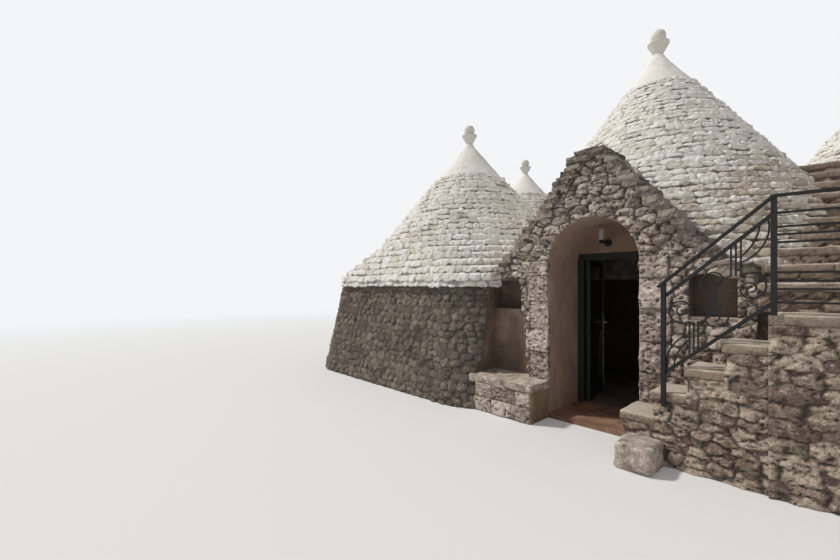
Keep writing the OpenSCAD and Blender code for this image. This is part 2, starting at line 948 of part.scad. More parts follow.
module door_frame() color(paintwork) {
    stop_w = 15;
    stop_t = leaf_front - leaf_gap - 2 - frame_y - leaf_gap;
    difference() {
        intersection() {
            arch_prism(door_half - bed, frame_y + leaf_gap, frame_back, floor_t);
            translate([-door_half, 0, 0])
                cube([door_w, far, lintel_z]);
        }
        translate([frame_w - door_half, 0, 0])
            cube([door_w - 2 * frame_w, far, head_z]);
    }
    for (side = [-1, 1])
        translate([side * (door_half - frame_w - stop_w / 2) - stop_w / 2 - side * eps / 2,
            frame_y + leaf_gap, floor_t])
            cube([stop_w + eps, stop_t, head_z - floor_t]);
    translate([frame_w - door_half, frame_y + leaf_gap, head_z - stop_w])
        cube([door_w - 2 * frame_w, stop_t, stop_w + eps]);
    for (z = hinge_zs) {
        translate([hinge_x, hinge_y, z])
            cylinder(r = hinge_r, h = barrel_h);
        translate([hinge_x, hinge_y, z])
            cylinder(r = pin_r, h = 2 * barrel_h - hinge_r);
        translate([hinge_x - hinge_leaf_w, frame_back, z])
            cube([hinge_leaf_w, hinge_r / 2, barrel_h]);
    }
}

// Turns what is drawn for the closed leaf to the angle at which the leaf stands open
module opened() {
    translate([hinge_x, hinge_y, 0])
        rotate([0, 0, door_open])
            translate([-hinge_x, -hinge_y, 0])
                children();
}

module door_leaf() color(paintwork)
    opened() {
        difference() {
            translate([-leaf_half, leaf_front, leaf_foot])
                cube([leaf_half + leaf_right, leaf_t, leaf_top - leaf_foot]);
            translate([stile_w - leaf_half, leaf_front - eps, leaf_foot + kick_h])
                cube([leaf_half + leaf_right - 2 * stile_w, leaf_t + 2 * eps,
                    leaf_top - leaf_foot - kick_h - stile_w]);
        }
        for (z = hinge_zs)
            difference() {
                union() {
                    translate([hinge_x, hinge_y, z + barrel_h + pin_gap])
                        cylinder(r = hinge_r, h = barrel_h - pin_gap);
                    translate([hinge_x, leaf_back - eps, z + barrel_h + pin_gap])
                        cube([hinge_leaf_w, hinge_y - leaf_back - hinge_r / 2 + eps, barrel_h - pin_gap]);
                }
                translate([hinge_x, hinge_y, z])
                    cylinder(r = pin_r + pin_gap, h = 3 * barrel_h);
            }
    }

module door_glass() color(pale_glass)
    opened()
        translate([stile_w - leaf_half, leaf_front + leaf_t / 2 - 3, leaf_foot + kick_h])
            cube([leaf_half + leaf_right - 2 * stile_w, 6, leaf_top - leaf_foot - kick_h - stile_w]);

// The lever on both faces, with its plates, and the pale metal strip beside the lock
module door_handle() color(brass) {
    handle_x = leaf_right - stile_w / 2;
    plate_w = 40;
    plate_h = 220;
    plate_t = 5;
    lever_l = 115;
    lever_r = 9;
    strip_w = 28;
    strip_t = 4;
    opened() {
        for (side = [-1, 1])
            translate([handle_x, leaf_front + leaf_t / 2 + side * leaf_t / 2, handle_z]) {
                translate([-plate_w / 2, side > 0 ? 0 : -plate_t, -plate_h / 2])
                    cube([plate_w, plate_t, plate_h]);
                rotate([-90 * side, 0, 0])
                    cylinder(r = lever_r, h = 45);
                translate([lever_r, side * 45, 0])
                    rotate([0, -90, 0])
                        cylinder(r = lever_r, h = lever_l);
            }
        translate([leaf_right - stile_w, leaf_front - strip_t, leaf_foot + 60])
            cube([strip_w / 2, strip_t, handle_z - plate_h / 2 - leaf_foot - 70]);
    }
}

// The lamp: a plate on the plastered field, an arm, and a holder with its glass on top
module wall_lamp() color(iron)
    translate([lamp_x, frame_y, lamp_z]) {
        rotate([90, 0, 0])
            cylinder(r = lamp_plate_r, h = lamp_plate_t);
        rotate([90, 0, 0])
            cylinder(r = lamp_arm_r, h = lamp_reach);
        translate([0, -lamp_reach, -1.25 * lamp_arm_r])
            cylinder(r = lamp_cup_r, h = lamp_cup_h);
    }

module lamp_glass() color(pale_glass)
    translate([lamp_x, frame_y - lamp_reach, lamp_z - 1.25 * lamp_arm_r + lamp_cup_h])
        cylinder(r = lamp_glass_r, h = lamp_glass_h);

module bench() color(limestone)
    intersection() {
        translate([left_x, -bench_d, 0])
            cube([-door_half - left_x, bench_d, seat_z - seat_t]);
        own_side(main_c, left_c, main_to_left);
    }

module bench_seat() color(step_stone)
    intersection() {
        union() {
            translate([left_x, -bench_d - seat_out, seat_z - seat_t])
                cube([-door_half - left_x, bench_d + seat_out, seat_t]);
            translate([left_x, -eps, seat_z - seat_t])
                cube([niche_x + plaster_t - left_x, niche_low_d + plaster_t + eps, seat_t]);
        }
        own_side(main_c, left_c, main_to_left);
    }

module niche_plaster() color(plaster_brown) {
    difference() {
        intersection() {
            seat_niche(plaster_t);
            own_side(main_c, left_c, main_to_left);
            translate([left_x, 0, seat_z])
                cube([far, far, wall_h - seat_z]);
        }
        seat_niche(0);
    }
    difference() {
        translate([hole_x - plaster_t, 0, hole_z - sill_t])
            cube([hole_w + 2 * plaster_t, hole_d + plaster_t, wall_h - hole_z + sill_t]);
        translate([hole_x, -eps, hole_z - sill_t - eps])
            cube([hole_w, hole_d + eps, wall_h]);
    }
}

module niche_sill() color(step_stone)
    translate([hole_x, -seat_out, hole_z - sill_t])
        cube([hole_w, hole_d + seat_out, sill_t]);

// The lower flight: four treads between the doorway and the landing
tread_count = 4;
flight_x = door_half;
tread_w = (landing_x - flight_x) / tread_count;
tread_rise = (landing_z - first_tread_z) / tread_count;
// Where the lower flight ends at the front face of the upper one, less a joint
function upper_face(x) = (x - front_right) * tan(turn) - bed / cos(turn);

// The first block, which stands in front of the flight
module first_step() color(step_stone)
    translate([flight_x + block_in, -flight_d - block_d, 0])
        cube([block_w, block_d, block_h]);

module lower_steps() color(limestone)
    for (i = [0:tread_count - 1])
        linear_extrude(first_tread_z + i * tread_rise - tread_t)
            polygon([
                [flight_x + i * tread_w, -flight_d],
                [landing_x, -flight_d],
                [landing_x, upper_face(landing_x)],
                [front_right, upper_face(front_right)],
                [front_right, 0],
                [flight_x + i * tread_w, 0]
            ]);

module lower_treads() color(step_stone)
    for (i = [0:tread_count - 1])
        translate([0, 0, first_tread_z + i * tread_rise - tread_t])
            linear_extrude(tread_t)
                if (i < tread_count - 1)
                    translate([flight_x + i * tread_w - nosing, -flight_d])
                        square([tread_w + nosing, flight_d]);
                else
                    polygon([
                        [flight_x + i * tread_w - nosing, -flight_d],
                        [landing_x, -flight_d],
                        [landing_x, upper_face(landing_x)],
                        [front_right, upper_face(front_right)],
                        [front_right, 0],
                        [flight_x + i * tread_w - nosing, 0]
                    ]);

// A point of the upper flight's own frame: along its front, and back into it
function upper_point(u, v) =
    [front_right + u * cos(turn) - v * sin(turn), u * sin(turn) + v * cos(turn)];
landing_u = (landing_x - front_right) * cos(turn) - (flight_d + landing_out) * sin(turn);
landing_v = -(landing_x - front_right) * sin(turn) - (flight_d + landing_out) * cos(turn);

module landing_outline(out) {
    polygon([
        [landing_x, -flight_d - landing_out - out],
        upper_point(upper_w + out, landing_v - out),
        upper_point(upper_w + out, -bed),
        [landing_x, upper_face(landing_x)]
    ]);
}

module landing() color(limestone)
    linear_extrude(landing_z - tread_t)
        landing_outline(0);

module landing_slab() color(step_stone)
    translate([0, 0, landing_z - tread_t])
        linear_extrude(tread_t)
            landing_outline(nosing);

// The upper flight: long low steps that rise to a terrace between the cones
upper_count = 10;
function upper_z(i) = landing_z + upper_first + i * upper_rise;

// Keeps what is clear of the round walls and roofs beside the upper flight
module beside_cones() {
    difference() {
        intersection() {
            translate([front_right, 0, 0])
                rotate([0, 0, turn])
                    children();
            translate([front_right, -far / 2, 0])
                cube([far, far, far]);
        }
        outer_void(main_c, main_r, main_apex, wall_h);
        outer_void(right_c, right_r, right_apex, wall_h);
    }
}

module upper_steps() color(limestone)
    beside_cones()
        for (i = [0:upper_count - 1])
            translate([-upper_w / 2, i * upper_going, 0])
                cube([1.5 * upper_w, upper_d - i * upper_going, upper_z(i) - slab_t]);

module upper_treads() color(step_stone)
    beside_cones()
        for (i = [0:upper_count - 1])
            translate([-upper_w / 2, i * upper_going - slab_out, upper_z(i) - slab_t])
                cube([1.5 * upper_w + slab_out,
                    (i < upper_count - 1 ? upper_going : upper_d - i * upper_going) + slab_out, slab_t]);

// The railing: posts outside the flight, one handrail, and two panels of bars
rail_y = -flight_d - post_w / 2;
corner_x = landing_x + corner_in;
corner_p = [corner_x, rail_y];
rail_end = upper_w - landing_u - end_in;
stair_slope = atan((rail_top - rail_low) / (corner_x - post_x));
stair_run = corner_x - post_x;
// Places of the short bars of the sloping panel, from its middle
bar_places = [for (i = [0:2]) bar_in + i * bar_step];
// Half of the height between the panel's rails
panel_half = (panel_low - panel_top) / 2;

// Draws along the landing: x runs from the corner post along the landing's edge
module along_landing() {
    translate([corner_p[0], corner_p[1], 0])
        rotate([0, 0, turn])
            children();
}

// A bar along the flight's slope, at a height of its centre, with its top raised if need be
module slope_bar(x0, x1, z, w, t, rise = 0) {
    translate([corner_x, rail_y, z])
        rotate([0, -stair_slope, 0])
            translate([(x0 - corner_x) / cos(stair_slope), -w / 2, -t / 2])
                cube([(x1 - x0) / cos(stair_slope), w, t + rise]);
}

module landing_bar(u0, u1, z, w, t, rise = 0) {
    along_landing()
        translate([u0, -w / 2, z - t / 2])
            cube([u1 - u0, w, t + rise]);
}

// The handrail, or all the space over its underside when it is given a rise
module handrail_shape(rise = 0) {
    slope_bar(post_x - handrail_w, corner_x, rail_top, handrail_w, handrail_t, rise);
    landing_bar(0, rail_end + handrail_w, rail_top, handrail_w, handrail_t, rise);
    translate([corner_x, rail_y, rail_top - handrail_t / 2])
        cylinder(r = handrail_w / 2, h = handrail_t + rise);
}

module posts_shape() {
    w = post_w;
    translate([post_x - w / 2, rail_y - w / 2, post_foot_z])
        cube([w, w, rail_low - post_foot_z]);
    translate([corner_x - w / 2, rail_y - w / 2, landing_z])
        cube([w, w, rail_top - landing_z]);
    along_landing()
        translate([rail_end - w / 2, -w / 2, landing_z])
            cube([w, w, rail_top - landing_z]);
}

module rail_posts() color(iron)
    difference() {
        posts_shape();
        handrail_shape(3 * post_w);
    }

module handrail() color(iron)
    handrail_shape();

// A flat forged bar bent to an arc, in the plane of the panel
module forged_arc(centre, r, from, to) {
    steps = 5;
    translate(centre)
        intersection() {
            difference() {
                circle(r = r + scroll_w / 2);
                circle(r = r - scroll_w / 2);
            }
            polygon(concat([[0, 0]], [
                for (i = [0:steps])
                    2 * r * [cos(from + (to - from) * i / steps), sin(from + (to - from) * i / steps)]
            ]));
        }
}

// A scroll that starts at an angle on its outer turn and curls in by two smaller half turns;
// side is 1 where the outer turn is on the right of the centre, -1 where it is on the left
module scroll(centre, start, side) {
    r2 = scroll_in * scroll_r;
    r3 = scroll_in * r2;
    translate(centre)
        mirror([side > 0 ? 0 : 1, 0]) {
            forged_arc([0, 0], scroll_r, -90, start);
            forged_arc([0, r2 - scroll_r], r2, 90, 270);
            forged_arc([0, 2 * r2 - scroll_r - r3], r3, -90, 90);
        }
}

// Half of the ornament of the sloping panel, about the panel's middle; the other half is it turned
module half_ornament() {
    rail = [for (x = bar_places) x * tan(stair_slope) + panel_half];
    last = bar_places[2];
    // half of the collar that ties the scrolls together
    translate([-collar_w / 2, 0])
        square([collar_w, collar_h / 2 + scroll_w]);
    // three short bars that hang from the top rail, the last of them bent to a scroll
    for (i = [0:2])
        translate([bar_places[i] - scroll_w / 2, bar_foot])
            square([scroll_w, rail[i] - bar_foot]);
    scroll([last + 0.6 * scroll_r, bar_foot - 0.8 * scroll_r], 180 - acos(0.6), 1);
    // a scroll that stands on the collar
    translate([0, collar_h / 2 + 2 * scroll_r])
        mirror([0, 1])
            scroll([0, scroll_r], 90, -1);
    // a bar bent from the collar to the foot of the first short bar
    across = bar_places[0] + collar_w / 4;
    up = bar_foot - collar_h / 2;
    bend_r = (pow(across, 2) + pow(up, 2)) / (2 * across);
    forged_arc([bend_r - collar_w / 4, collar_h / 2], bend_r, 180 - asin(up / bend_r), 180);
    // two arcs from the last short bar to the corner under the handrail
    for (c = [[-254, 276, 370], [-121, 225, 290]])
        forged_arc([last + c[0], panel_half + c[1]], c[2], -acos(-c[0] / c[2]), 20);
}

module stair_panel() color(iron)
    difference() {
        union() {
            slope_bar(post_x, corner_x, rail_top - panel_top, bar_t, panel_rail_h);
            slope_bar(post_x, corner_x, rail_top - panel_low, bar_t, panel_rail_h);
            translate([(post_x + corner_x) / 2, rail_y + scroll_t / 2,
                (rail_low + rail_top - panel_top - panel_low) / 2])
                rotate([90, 0, 0])
                    linear_extrude(scroll_t)
                        intersection() {
                            for (a = [0, 180])
                                rotate(a)
                                    half_ornament();
                            polygon([
                                for (x = [-1, 1], z = [-x, x])
                                    [x * stair_run / 2, x * stair_run / 2 * tan(stair_slope) + z * panel_half]
                            ]);
                        }
        }
        posts_shape();
    }

module landing_panel() color(iron)
    difference() {
        union() {
            for (k = [0, 0.157, 0.243, 0.33, 0.666, 0.761, 0.851, 1])
                landing_bar(0, rail_end, rail_top - panel_top - k * (panel_low - panel_top), bar_t, bar_t);
        }
        posts_shape();
    }

main_wall_right();
main_wall_back();
front_wall_left();
front_wall_right();
gable_wall();
gable_coping();
porch_roof();
main_roof();
main_cap();
left_wall_front();
left_wall_side();
left_wall_rear();
left_roof();
left_cap();
rear_wall_left();
rear_wall_right();
rear_roof();
rear_cap();
right_wall_front();
right_wall_back();
right_roof();
right_cap();
finials();
stone_floor();
threshold();
reveal_lining();
tympanum();
door_frame();
door_leaf();
door_glass();
door_handle();
wall_lamp();
lamp_glass();
bench();
bench_seat();
niche_plaster();
niche_sill();
first_step();
lower_steps();
lower_treads();
landing();
landing_slab();
upper_steps();
upper_treads();
rail_posts();
handrail();
stair_panel();
landing_panel();
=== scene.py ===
"""The looks of a trullo house: its stones, plaster, iron and door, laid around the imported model."""

import math

import bpy
import numpy as np
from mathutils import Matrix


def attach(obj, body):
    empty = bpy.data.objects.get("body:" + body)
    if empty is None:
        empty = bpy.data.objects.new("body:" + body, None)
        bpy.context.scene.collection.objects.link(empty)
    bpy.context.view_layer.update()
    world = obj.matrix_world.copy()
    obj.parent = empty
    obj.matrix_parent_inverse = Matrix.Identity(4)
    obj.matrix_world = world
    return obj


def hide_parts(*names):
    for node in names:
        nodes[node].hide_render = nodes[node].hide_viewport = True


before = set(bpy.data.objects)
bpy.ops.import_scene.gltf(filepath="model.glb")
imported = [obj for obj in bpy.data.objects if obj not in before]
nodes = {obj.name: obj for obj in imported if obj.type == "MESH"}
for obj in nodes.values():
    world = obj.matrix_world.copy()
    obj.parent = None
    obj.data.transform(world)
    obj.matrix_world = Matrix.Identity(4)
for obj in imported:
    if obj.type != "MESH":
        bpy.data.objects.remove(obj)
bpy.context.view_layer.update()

# The view of someone who stands on the ground before the steps, 93 degrees from side to side.
# The picture's width and the distance of the horizon under its middle are in pixels.
PICTURE_WIDTH = 840
HORIZON_UNDER_MIDDLE = 5
camera_data = bpy.data.cameras.new("view")
camera_data.sensor_width = 36.0
camera_data.lens = 17.14
camera_data.shift_y = HORIZON_UNDER_MIDDLE / PICTURE_WIDTH
camera_data.clip_start = 0.05
camera = bpy.data.objects.new("view", camera_data)
camera.location = (1.978, -4.446, 1.6)
camera.rotation_euler = (math.radians(90), 0, math.radians(47.07))
bpy.context.scene.collection.objects.link(camera)
bpy.context.scene.camera = camera
bpy.context.scene.view_settings.view_transform = "Standard"


# A plain pale floor and a soft lamp in a pale room. Wire and Finish are how every finish
# here is written: sockets as sums and products, other nodes by their type.
class Wire:
    """A socket whose sums and products are Math nodes."""

    def __init__(self, tree, socket):
        self.tree = tree
        self.socket = socket

    def maths(self, operation, first, second):
        node = self.tree.nodes.new("ShaderNodeMath")
        node.operation = operation
        for slot, value in zip(node.inputs, (first, second)):
            if isinstance(value, Wire):
                self.tree.links.new(value.socket, slot)
            else:
                slot.default_value = value
        return Wire(self.tree, node.outputs[0])

    def __add__(self, other):
        return self.maths("ADD", self, other)

    def __radd__(self, other):
        return self.maths("ADD", other, self)

    def __sub__(self, other):
        return self.maths("SUBTRACT", self, other)

    def __rsub__(self, other):
        return self.maths("SUBTRACT", other, self)

    def __mul__(self, other):
        return self.maths("MULTIPLY", self, other)

    def __rmul__(self, other):
        return self.maths("MULTIPLY", other, self)


class Finish:
    """A material with its Principled shader, and the method that adds any other node."""

    def __init__(self, name, **sockets):
        self.material = bpy.data.materials.new(name)
        self.material.use_nodes = True
        self.tree = self.material.node_tree
        self.shader = self.tree.nodes["Principled BSDF"]
        self.output = self.tree.nodes["Material Output"]
        self.give(self.shader, sockets)

    def give(self, node, values):
        for key, value in values.items():
            slot = node.inputs[key]
            if isinstance(value, Wire):
                self.tree.links.new(value.socket, slot)
            else:
                slot.default_value = value

    def node(self, kind, settings, values, out=0):
        node = self.tree.nodes.new(kind)
        for key, value in settings.items():
            setattr(node, key, value)
        self.give(node, values)
        return Wire(self.tree, node.outputs[out])

    def place(self):
        return self.node("ShaderNodeTexCoord", {}, {}, "Object")

    def stretched(self, x, y, z):
        return self.node("ShaderNodeMapping", {}, {0: self.place(), 3: (x, y, z)})

    def along(self, axis):
        """The place's distance along one axis of the frame."""
        return self.node("ShaderNodeSeparateXYZ", {}, {0: self.place()}, axis)

    def noise(self, where, size, detail, rough):
        return self.node("ShaderNodeTexNoise", {}, {
            "Vector": where, "Scale": 1 / size, "Detail": detail, "Roughness": rough})

    def ramp(self, factor, low, high):
        """From 0 to 1 as the factor goes from low to high, smoothly."""
        return self.node("ShaderNodeMapRange", {"interpolation_type": "SMOOTHSTEP"}, {
            "Value": factor, "From Min": low, "From Max": high})

    def blend(self, factor, first, second):
        return self.node("ShaderNodeMix", {"data_type": "RGBA"}, {0: factor, 6: first, 7: second}, 2)

    def carried(self, name):
        """A number that the mesh carries from stone to stone."""
        return self.node("ShaderNodeAttribute", {"attribute_name": name}, {}, "Fac")

    def bump(self, height, depth):
        normal = self.node("ShaderNodeBump", {}, {"Height": height, "Strength": 1.0, "Distance": depth})
        self.give(self.shader, {"Normal": normal})

    def finish(self, colour, rough):
        self.give(self.shader, {"Base Color": colour, "Roughness": rough})
        return self.material


def rgb(red, green, blue):
    return (red, green, blue, 1.0)


FLOOR_COLOUR = rgb(0.74, 0.74, 0.73)
FLOOR_REACH = 60.0
FLOOR_UNDER = 0.002
FADE_START, FADE_END = 7.0, 24.0
ROOM_WHITE = rgb(0.965, 0.98, 1.0)
ROOM_GLOW = 0.93
AMBIENT = 0.40
floor_finish = Finish("studio_floor", Roughness=0.9)
seen = floor_finish.node("ShaderNodeLightPath", {}, {}, "Is Camera Ray")
from_house = floor_finish.node("ShaderNodeVectorMath", {"operation": "LENGTH"},
                               {0: floor_finish.place()}, "Value")
floor_finish.give(floor_finish.shader, {"Base Color": FLOOR_COLOUR})
glow = floor_finish.node("ShaderNodeEmission", {}, {"Color": ROOM_WHITE, "Strength": ROOM_GLOW})
floor_finish.give(floor_finish.output, {"Surface": floor_finish.node("ShaderNodeMixShader", {}, {
    0: seen * (0.10 + 0.90 * floor_finish.ramp(from_house, FADE_START, FADE_END)),
    1: Wire(floor_finish.tree, floor_finish.shader.outputs[0]), 2: glow})})
floor_corners = [(x * FLOOR_REACH, y * FLOOR_REACH, 0) for x, y in ((-1, -1), (1, -1), (1, 1), (-1, 1))]
floor_mesh = bpy.data.meshes.new("studio_floor")
floor_mesh.from_pydata(floor_corners, [], [(0, 1, 2, 3)])
floor_mesh.materials.append(floor_finish.material)
floor = bpy.data.objects.new("studio_floor", floor_mesh)
floor.location.z = -FLOOR_UNDER
bpy.context.scene.collection.objects.link(floor)

room = bpy.data.worlds.new("studio")
room.use_nodes = True
room_tree = room.node_tree
room_glow = room_tree.nodes["Background"]
room_path = room_tree.nodes.new("ShaderNodeLightPath")
direct = Wire(room_tree, room_path.outputs["Is Camera Ray"])
mirrored = Wire(room_tree, room_path.outputs["Is Glossy Ray"])
through = Wire(room_tree, room_path.outputs["Is Transmission Ray"])
shown = direct.maths("MAXIMUM", direct.maths("MAXIMUM", direct, mirrored), through)
room_tree.links.new((shown * (ROOM_GLOW - AMBIENT) + AMBIENT).socket, room_glow.inputs["Strength"])
room_glow.inputs["Color"].default_value = ROOM_WHITE
bpy.context.scene.world = room

lamp_data = bpy.data.lights.new("soft_lamp", "SUN")
lamp_data.energy = 2.45
lamp_data.angle = math.radians(5)
lamp_data.color = (1.0, 0.97, 0.92)
lamp = bpy.data.objects.new("soft_lamp", lamp_data)
lamp.rotation_euler = (math.radians(40), 0, math.radians(-58))
bpy.context.scene.collection.objects.link(lamp)


# The round and square walls of the four trulli: drystone rubble, pointed with grey mortar; its joints carry
# painted shade.
# Each wall is a skin of single stones, bedded on its solid masonry and standing out of it.
HASH_X, HASH_Y, HASH_Z, HASH_SEED = 374761393, 668265263, 1274126177, 97463
HASH_STEP, HASH_BITS = 1103515245, 0xFFFFFFFF


def smooth(value):
    value = np.clip(value, 0, 1)
    return value * value * (3 - 2 * value)


def value_noise(points, size, seed):
    """Smooth noise from -1 to 1 at points in metres, with features of the given size."""
    spot = points / size + 7.31 * seed
    cell = np.floor(spot).astype(np.int64)
    part = smooth(spot - cell)
    total = np.zeros(len(points))
    for corner in range(8):
        step = np.array([corner & 1, corner >> 1 & 1, corner >> 2 & 1])
        at = cell + step
        mix = (at[:, 0] * HASH_X + at[:, 1] * HASH_Y + at[:, 2] * HASH_Z + seed * HASH_SEED) & HASH_BITS
        mix = (mix ^ (mix >> 13)) * HASH_STEP & HASH_BITS
        mix = (mix ^ (mix >> 16)) & 0xFFFF
        weight = np.prod(np.where(step, part, 1 - part), axis=1)
        total += weight * (mix / 32767.5 - 1)
    return total


def layered_noise(points, size, layers, seed):
    return sum(value_noise(points, size / 2 ** k, seed + 31 * k) / 2 ** k for k in range(layers))


def mesh_piece(name, points, faces, material, slot, rounded=True, **carried):
    """A mesh from arrays of points and equal faces, with the numbers that it carries per point."""
    mesh = bpy.data.meshes.new(name)
    points = np.array(points, dtype=np.float32)
    points[:, 2] = np.maximum(points[:, 2], 0)
    faces = np.asarray(faces, dtype=np.int32)
    mesh.vertices.add(len(points))
    mesh.vertices.foreach_set("co", points.ravel())
    mesh.loops.add(faces.size)
    mesh.loops.foreach_set("vertex_index", faces.ravel())
    mesh.polygons.add(len(faces))
    mesh.polygons.foreach_set("loop_start", np.arange(0, faces.size, faces.shape[1], dtype=np.int32))
    mesh.polygons.foreach_set("use_smooth", np.full(len(faces), rounded))
    mesh.update(calc_edges=True)
    mesh.validate()
    for key, values in carried.items():
        layer = mesh.attributes.new(key, "FLOAT", "POINT")
        layer.data.foreach_set("value", np.asarray(values, dtype=np.float32))
    mesh.materials.append(material)
    piece = bpy.data.objects.new(name, mesh)
    bpy.context.scene.collection.objects.link(piece)
    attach(piece, "house")
    return piece


def dress(material, *names):
    """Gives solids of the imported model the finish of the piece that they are."""
    for name in names:
        nodes[name].data.materials.clear()
        nodes[name].data.materials.append(material)


def coursed(rng, width, height, course, length):
    """Middles of the stones of a wall laid in rough courses, as places along it and up it."""
    spots = []
    up = -course / 2
    while up < height + course:
        row = course * rng.uniform(0.7, 1.35)
        along = -length * rng.uniform(0.2, 1.2)
        while along < width + length:
            stone = length * rng.uniform(0.55, 1.5)
            spots.append((along + stone / 2, up + row * (0.5 + rng.uniform(-0.22, 0.22))))
            along += stone
        up += row
    return np.array(spots)


def nearest_two(spots, flat, stretch):
    """For each point, its stone, and how far it lies from the joint to the next stone."""
    which = np.empty(len(flat), dtype=np.int64)
    edge = np.empty(len(flat))
    scale = np.array([1 / stretch, 1.0])
    middles = spots * scale
    batch = 8000
    for start in range(0, len(flat), batch):
        part = flat[start:start + batch] * scale
        gap = np.sqrt(((part[:, None, :] - middles[None]) ** 2).sum(axis=2))
        pair = np.argpartition(gap, 1, axis=1)[:, :2]
        near = np.take_along_axis(gap, pair, axis=1)
        first = np.argmin(near, axis=1)
        which[start:start + batch] = pair[np.arange(len(part)), first]
        edge[start:start + batch] = np.abs(near[:, 0] - near[:, 1]) / 2
    return which, edge


def covered_grid(width, height, grid, place, inside):
    """A grid over a wall, cut to the area that the stones cover, with its rim moved to the edge
    of that area. Returns its points, as distances along and up, and its faces."""
    across = np.linspace(0, width, max(2, round(width / grid)) + 1)
    rise = np.linspace(0, height, max(2, round(height / grid)) + 1)
    along, up = np.meshgrid(across, rise, indexing="ij")
    depth = inside(place(along.ravel(), up.ravel(), np.zeros(along.size))).reshape(along.shape)
    slope_along = np.gradient(depth, across, axis=0)
    slope_up = np.gradient(depth, rise, axis=1)
    steep = np.maximum(slope_along ** 2 + slope_up ** 2, 0.25)
    kept = depth[:-1, :-1] + depth[1:, :-1] + depth[:-1, 1:] + depth[1:, 1:] > 0
    shared = np.zeros(along.shape, dtype=np.int64)
    for a in (0, 1):
        for b in (0, 1):
            shared[a:a + kept.shape[0], b:b + kept.shape[1]] += kept
    used = shared > 0
    rim = used & (shared < 4) & (np.abs(depth) < 1.5 * grid)
    along = np.where(rim, np.clip(along - depth * slope_along / steep, 0, width), along)
    up = np.where(rim, np.clip(up - depth * slope_up / steep, 0, height), up)
    number = np.full(along.shape, -1)
    number[used] = np.arange(used.sum())
    i, j = np.argwhere(kept).T
    faces = np.stack([number[i, j], number[i + 1, j], number[i + 1, j + 1], number[i, j + 1]], axis=1)
    return np.stack([along[used], up[used]], axis=1), faces


def turned_rim(faces, count):
    """The points on the rim of a skin of so many points, and its faces with those that turn the
    rim back into the wall."""
    edges = np.concatenate([faces[:, [0, 1]], faces[:, [1, 2]], faces[:, [2, 3]], faces[:, [3, 0]]])
    key = edges.min(axis=1) * (count + 1) + edges.max(axis=1)
    _, first, times = np.unique(key, return_index=True, return_counts=True)
    border = edges[first[times == 1]]
    rim = np.unique(border)
    turned = np.full(count, -1)
    turned[rim] = count + np.arange(len(rim))
    walls = np.stack([border[:, 1], border[:, 0], turned[border[:, 0]], turned[border[:, 1]]], axis=1)
    return rim, np.concatenate([faces, walls])


CHIPS, CHIP_TURN = 3, 2.1


def chipped(rng, count, which, away):
    """How deep the faces of stones are broken away: each has three slanting chips."""
    facing = rng.uniform(0, 7, (count, 1)) + CHIP_TURN * np.arange(CHIPS)
    facing = facing + rng.normal(0, 0.35, (count, CHIPS))
    steepness = rng.uniform(0.10, 0.65, (count, CHIPS))
    start = rng.uniform(0.0, 0.045, (count, CHIPS))
    toward = away[:, :1] * np.cos(facing[which]) + away[:, 1:] * np.sin(facing[which])
    return (steepness[which] * np.maximum(toward - start[which], 0)).max(axis=1)


def nowhere(p):
    return np.zeros(len(p))


STONE_LIFT = 0.003
STONE_RAGGED, BLOCK_RAGGED = 0.030, 0.009
BLOCK_BROKEN = 0.30
DEEPEST_CHIP = 0.75


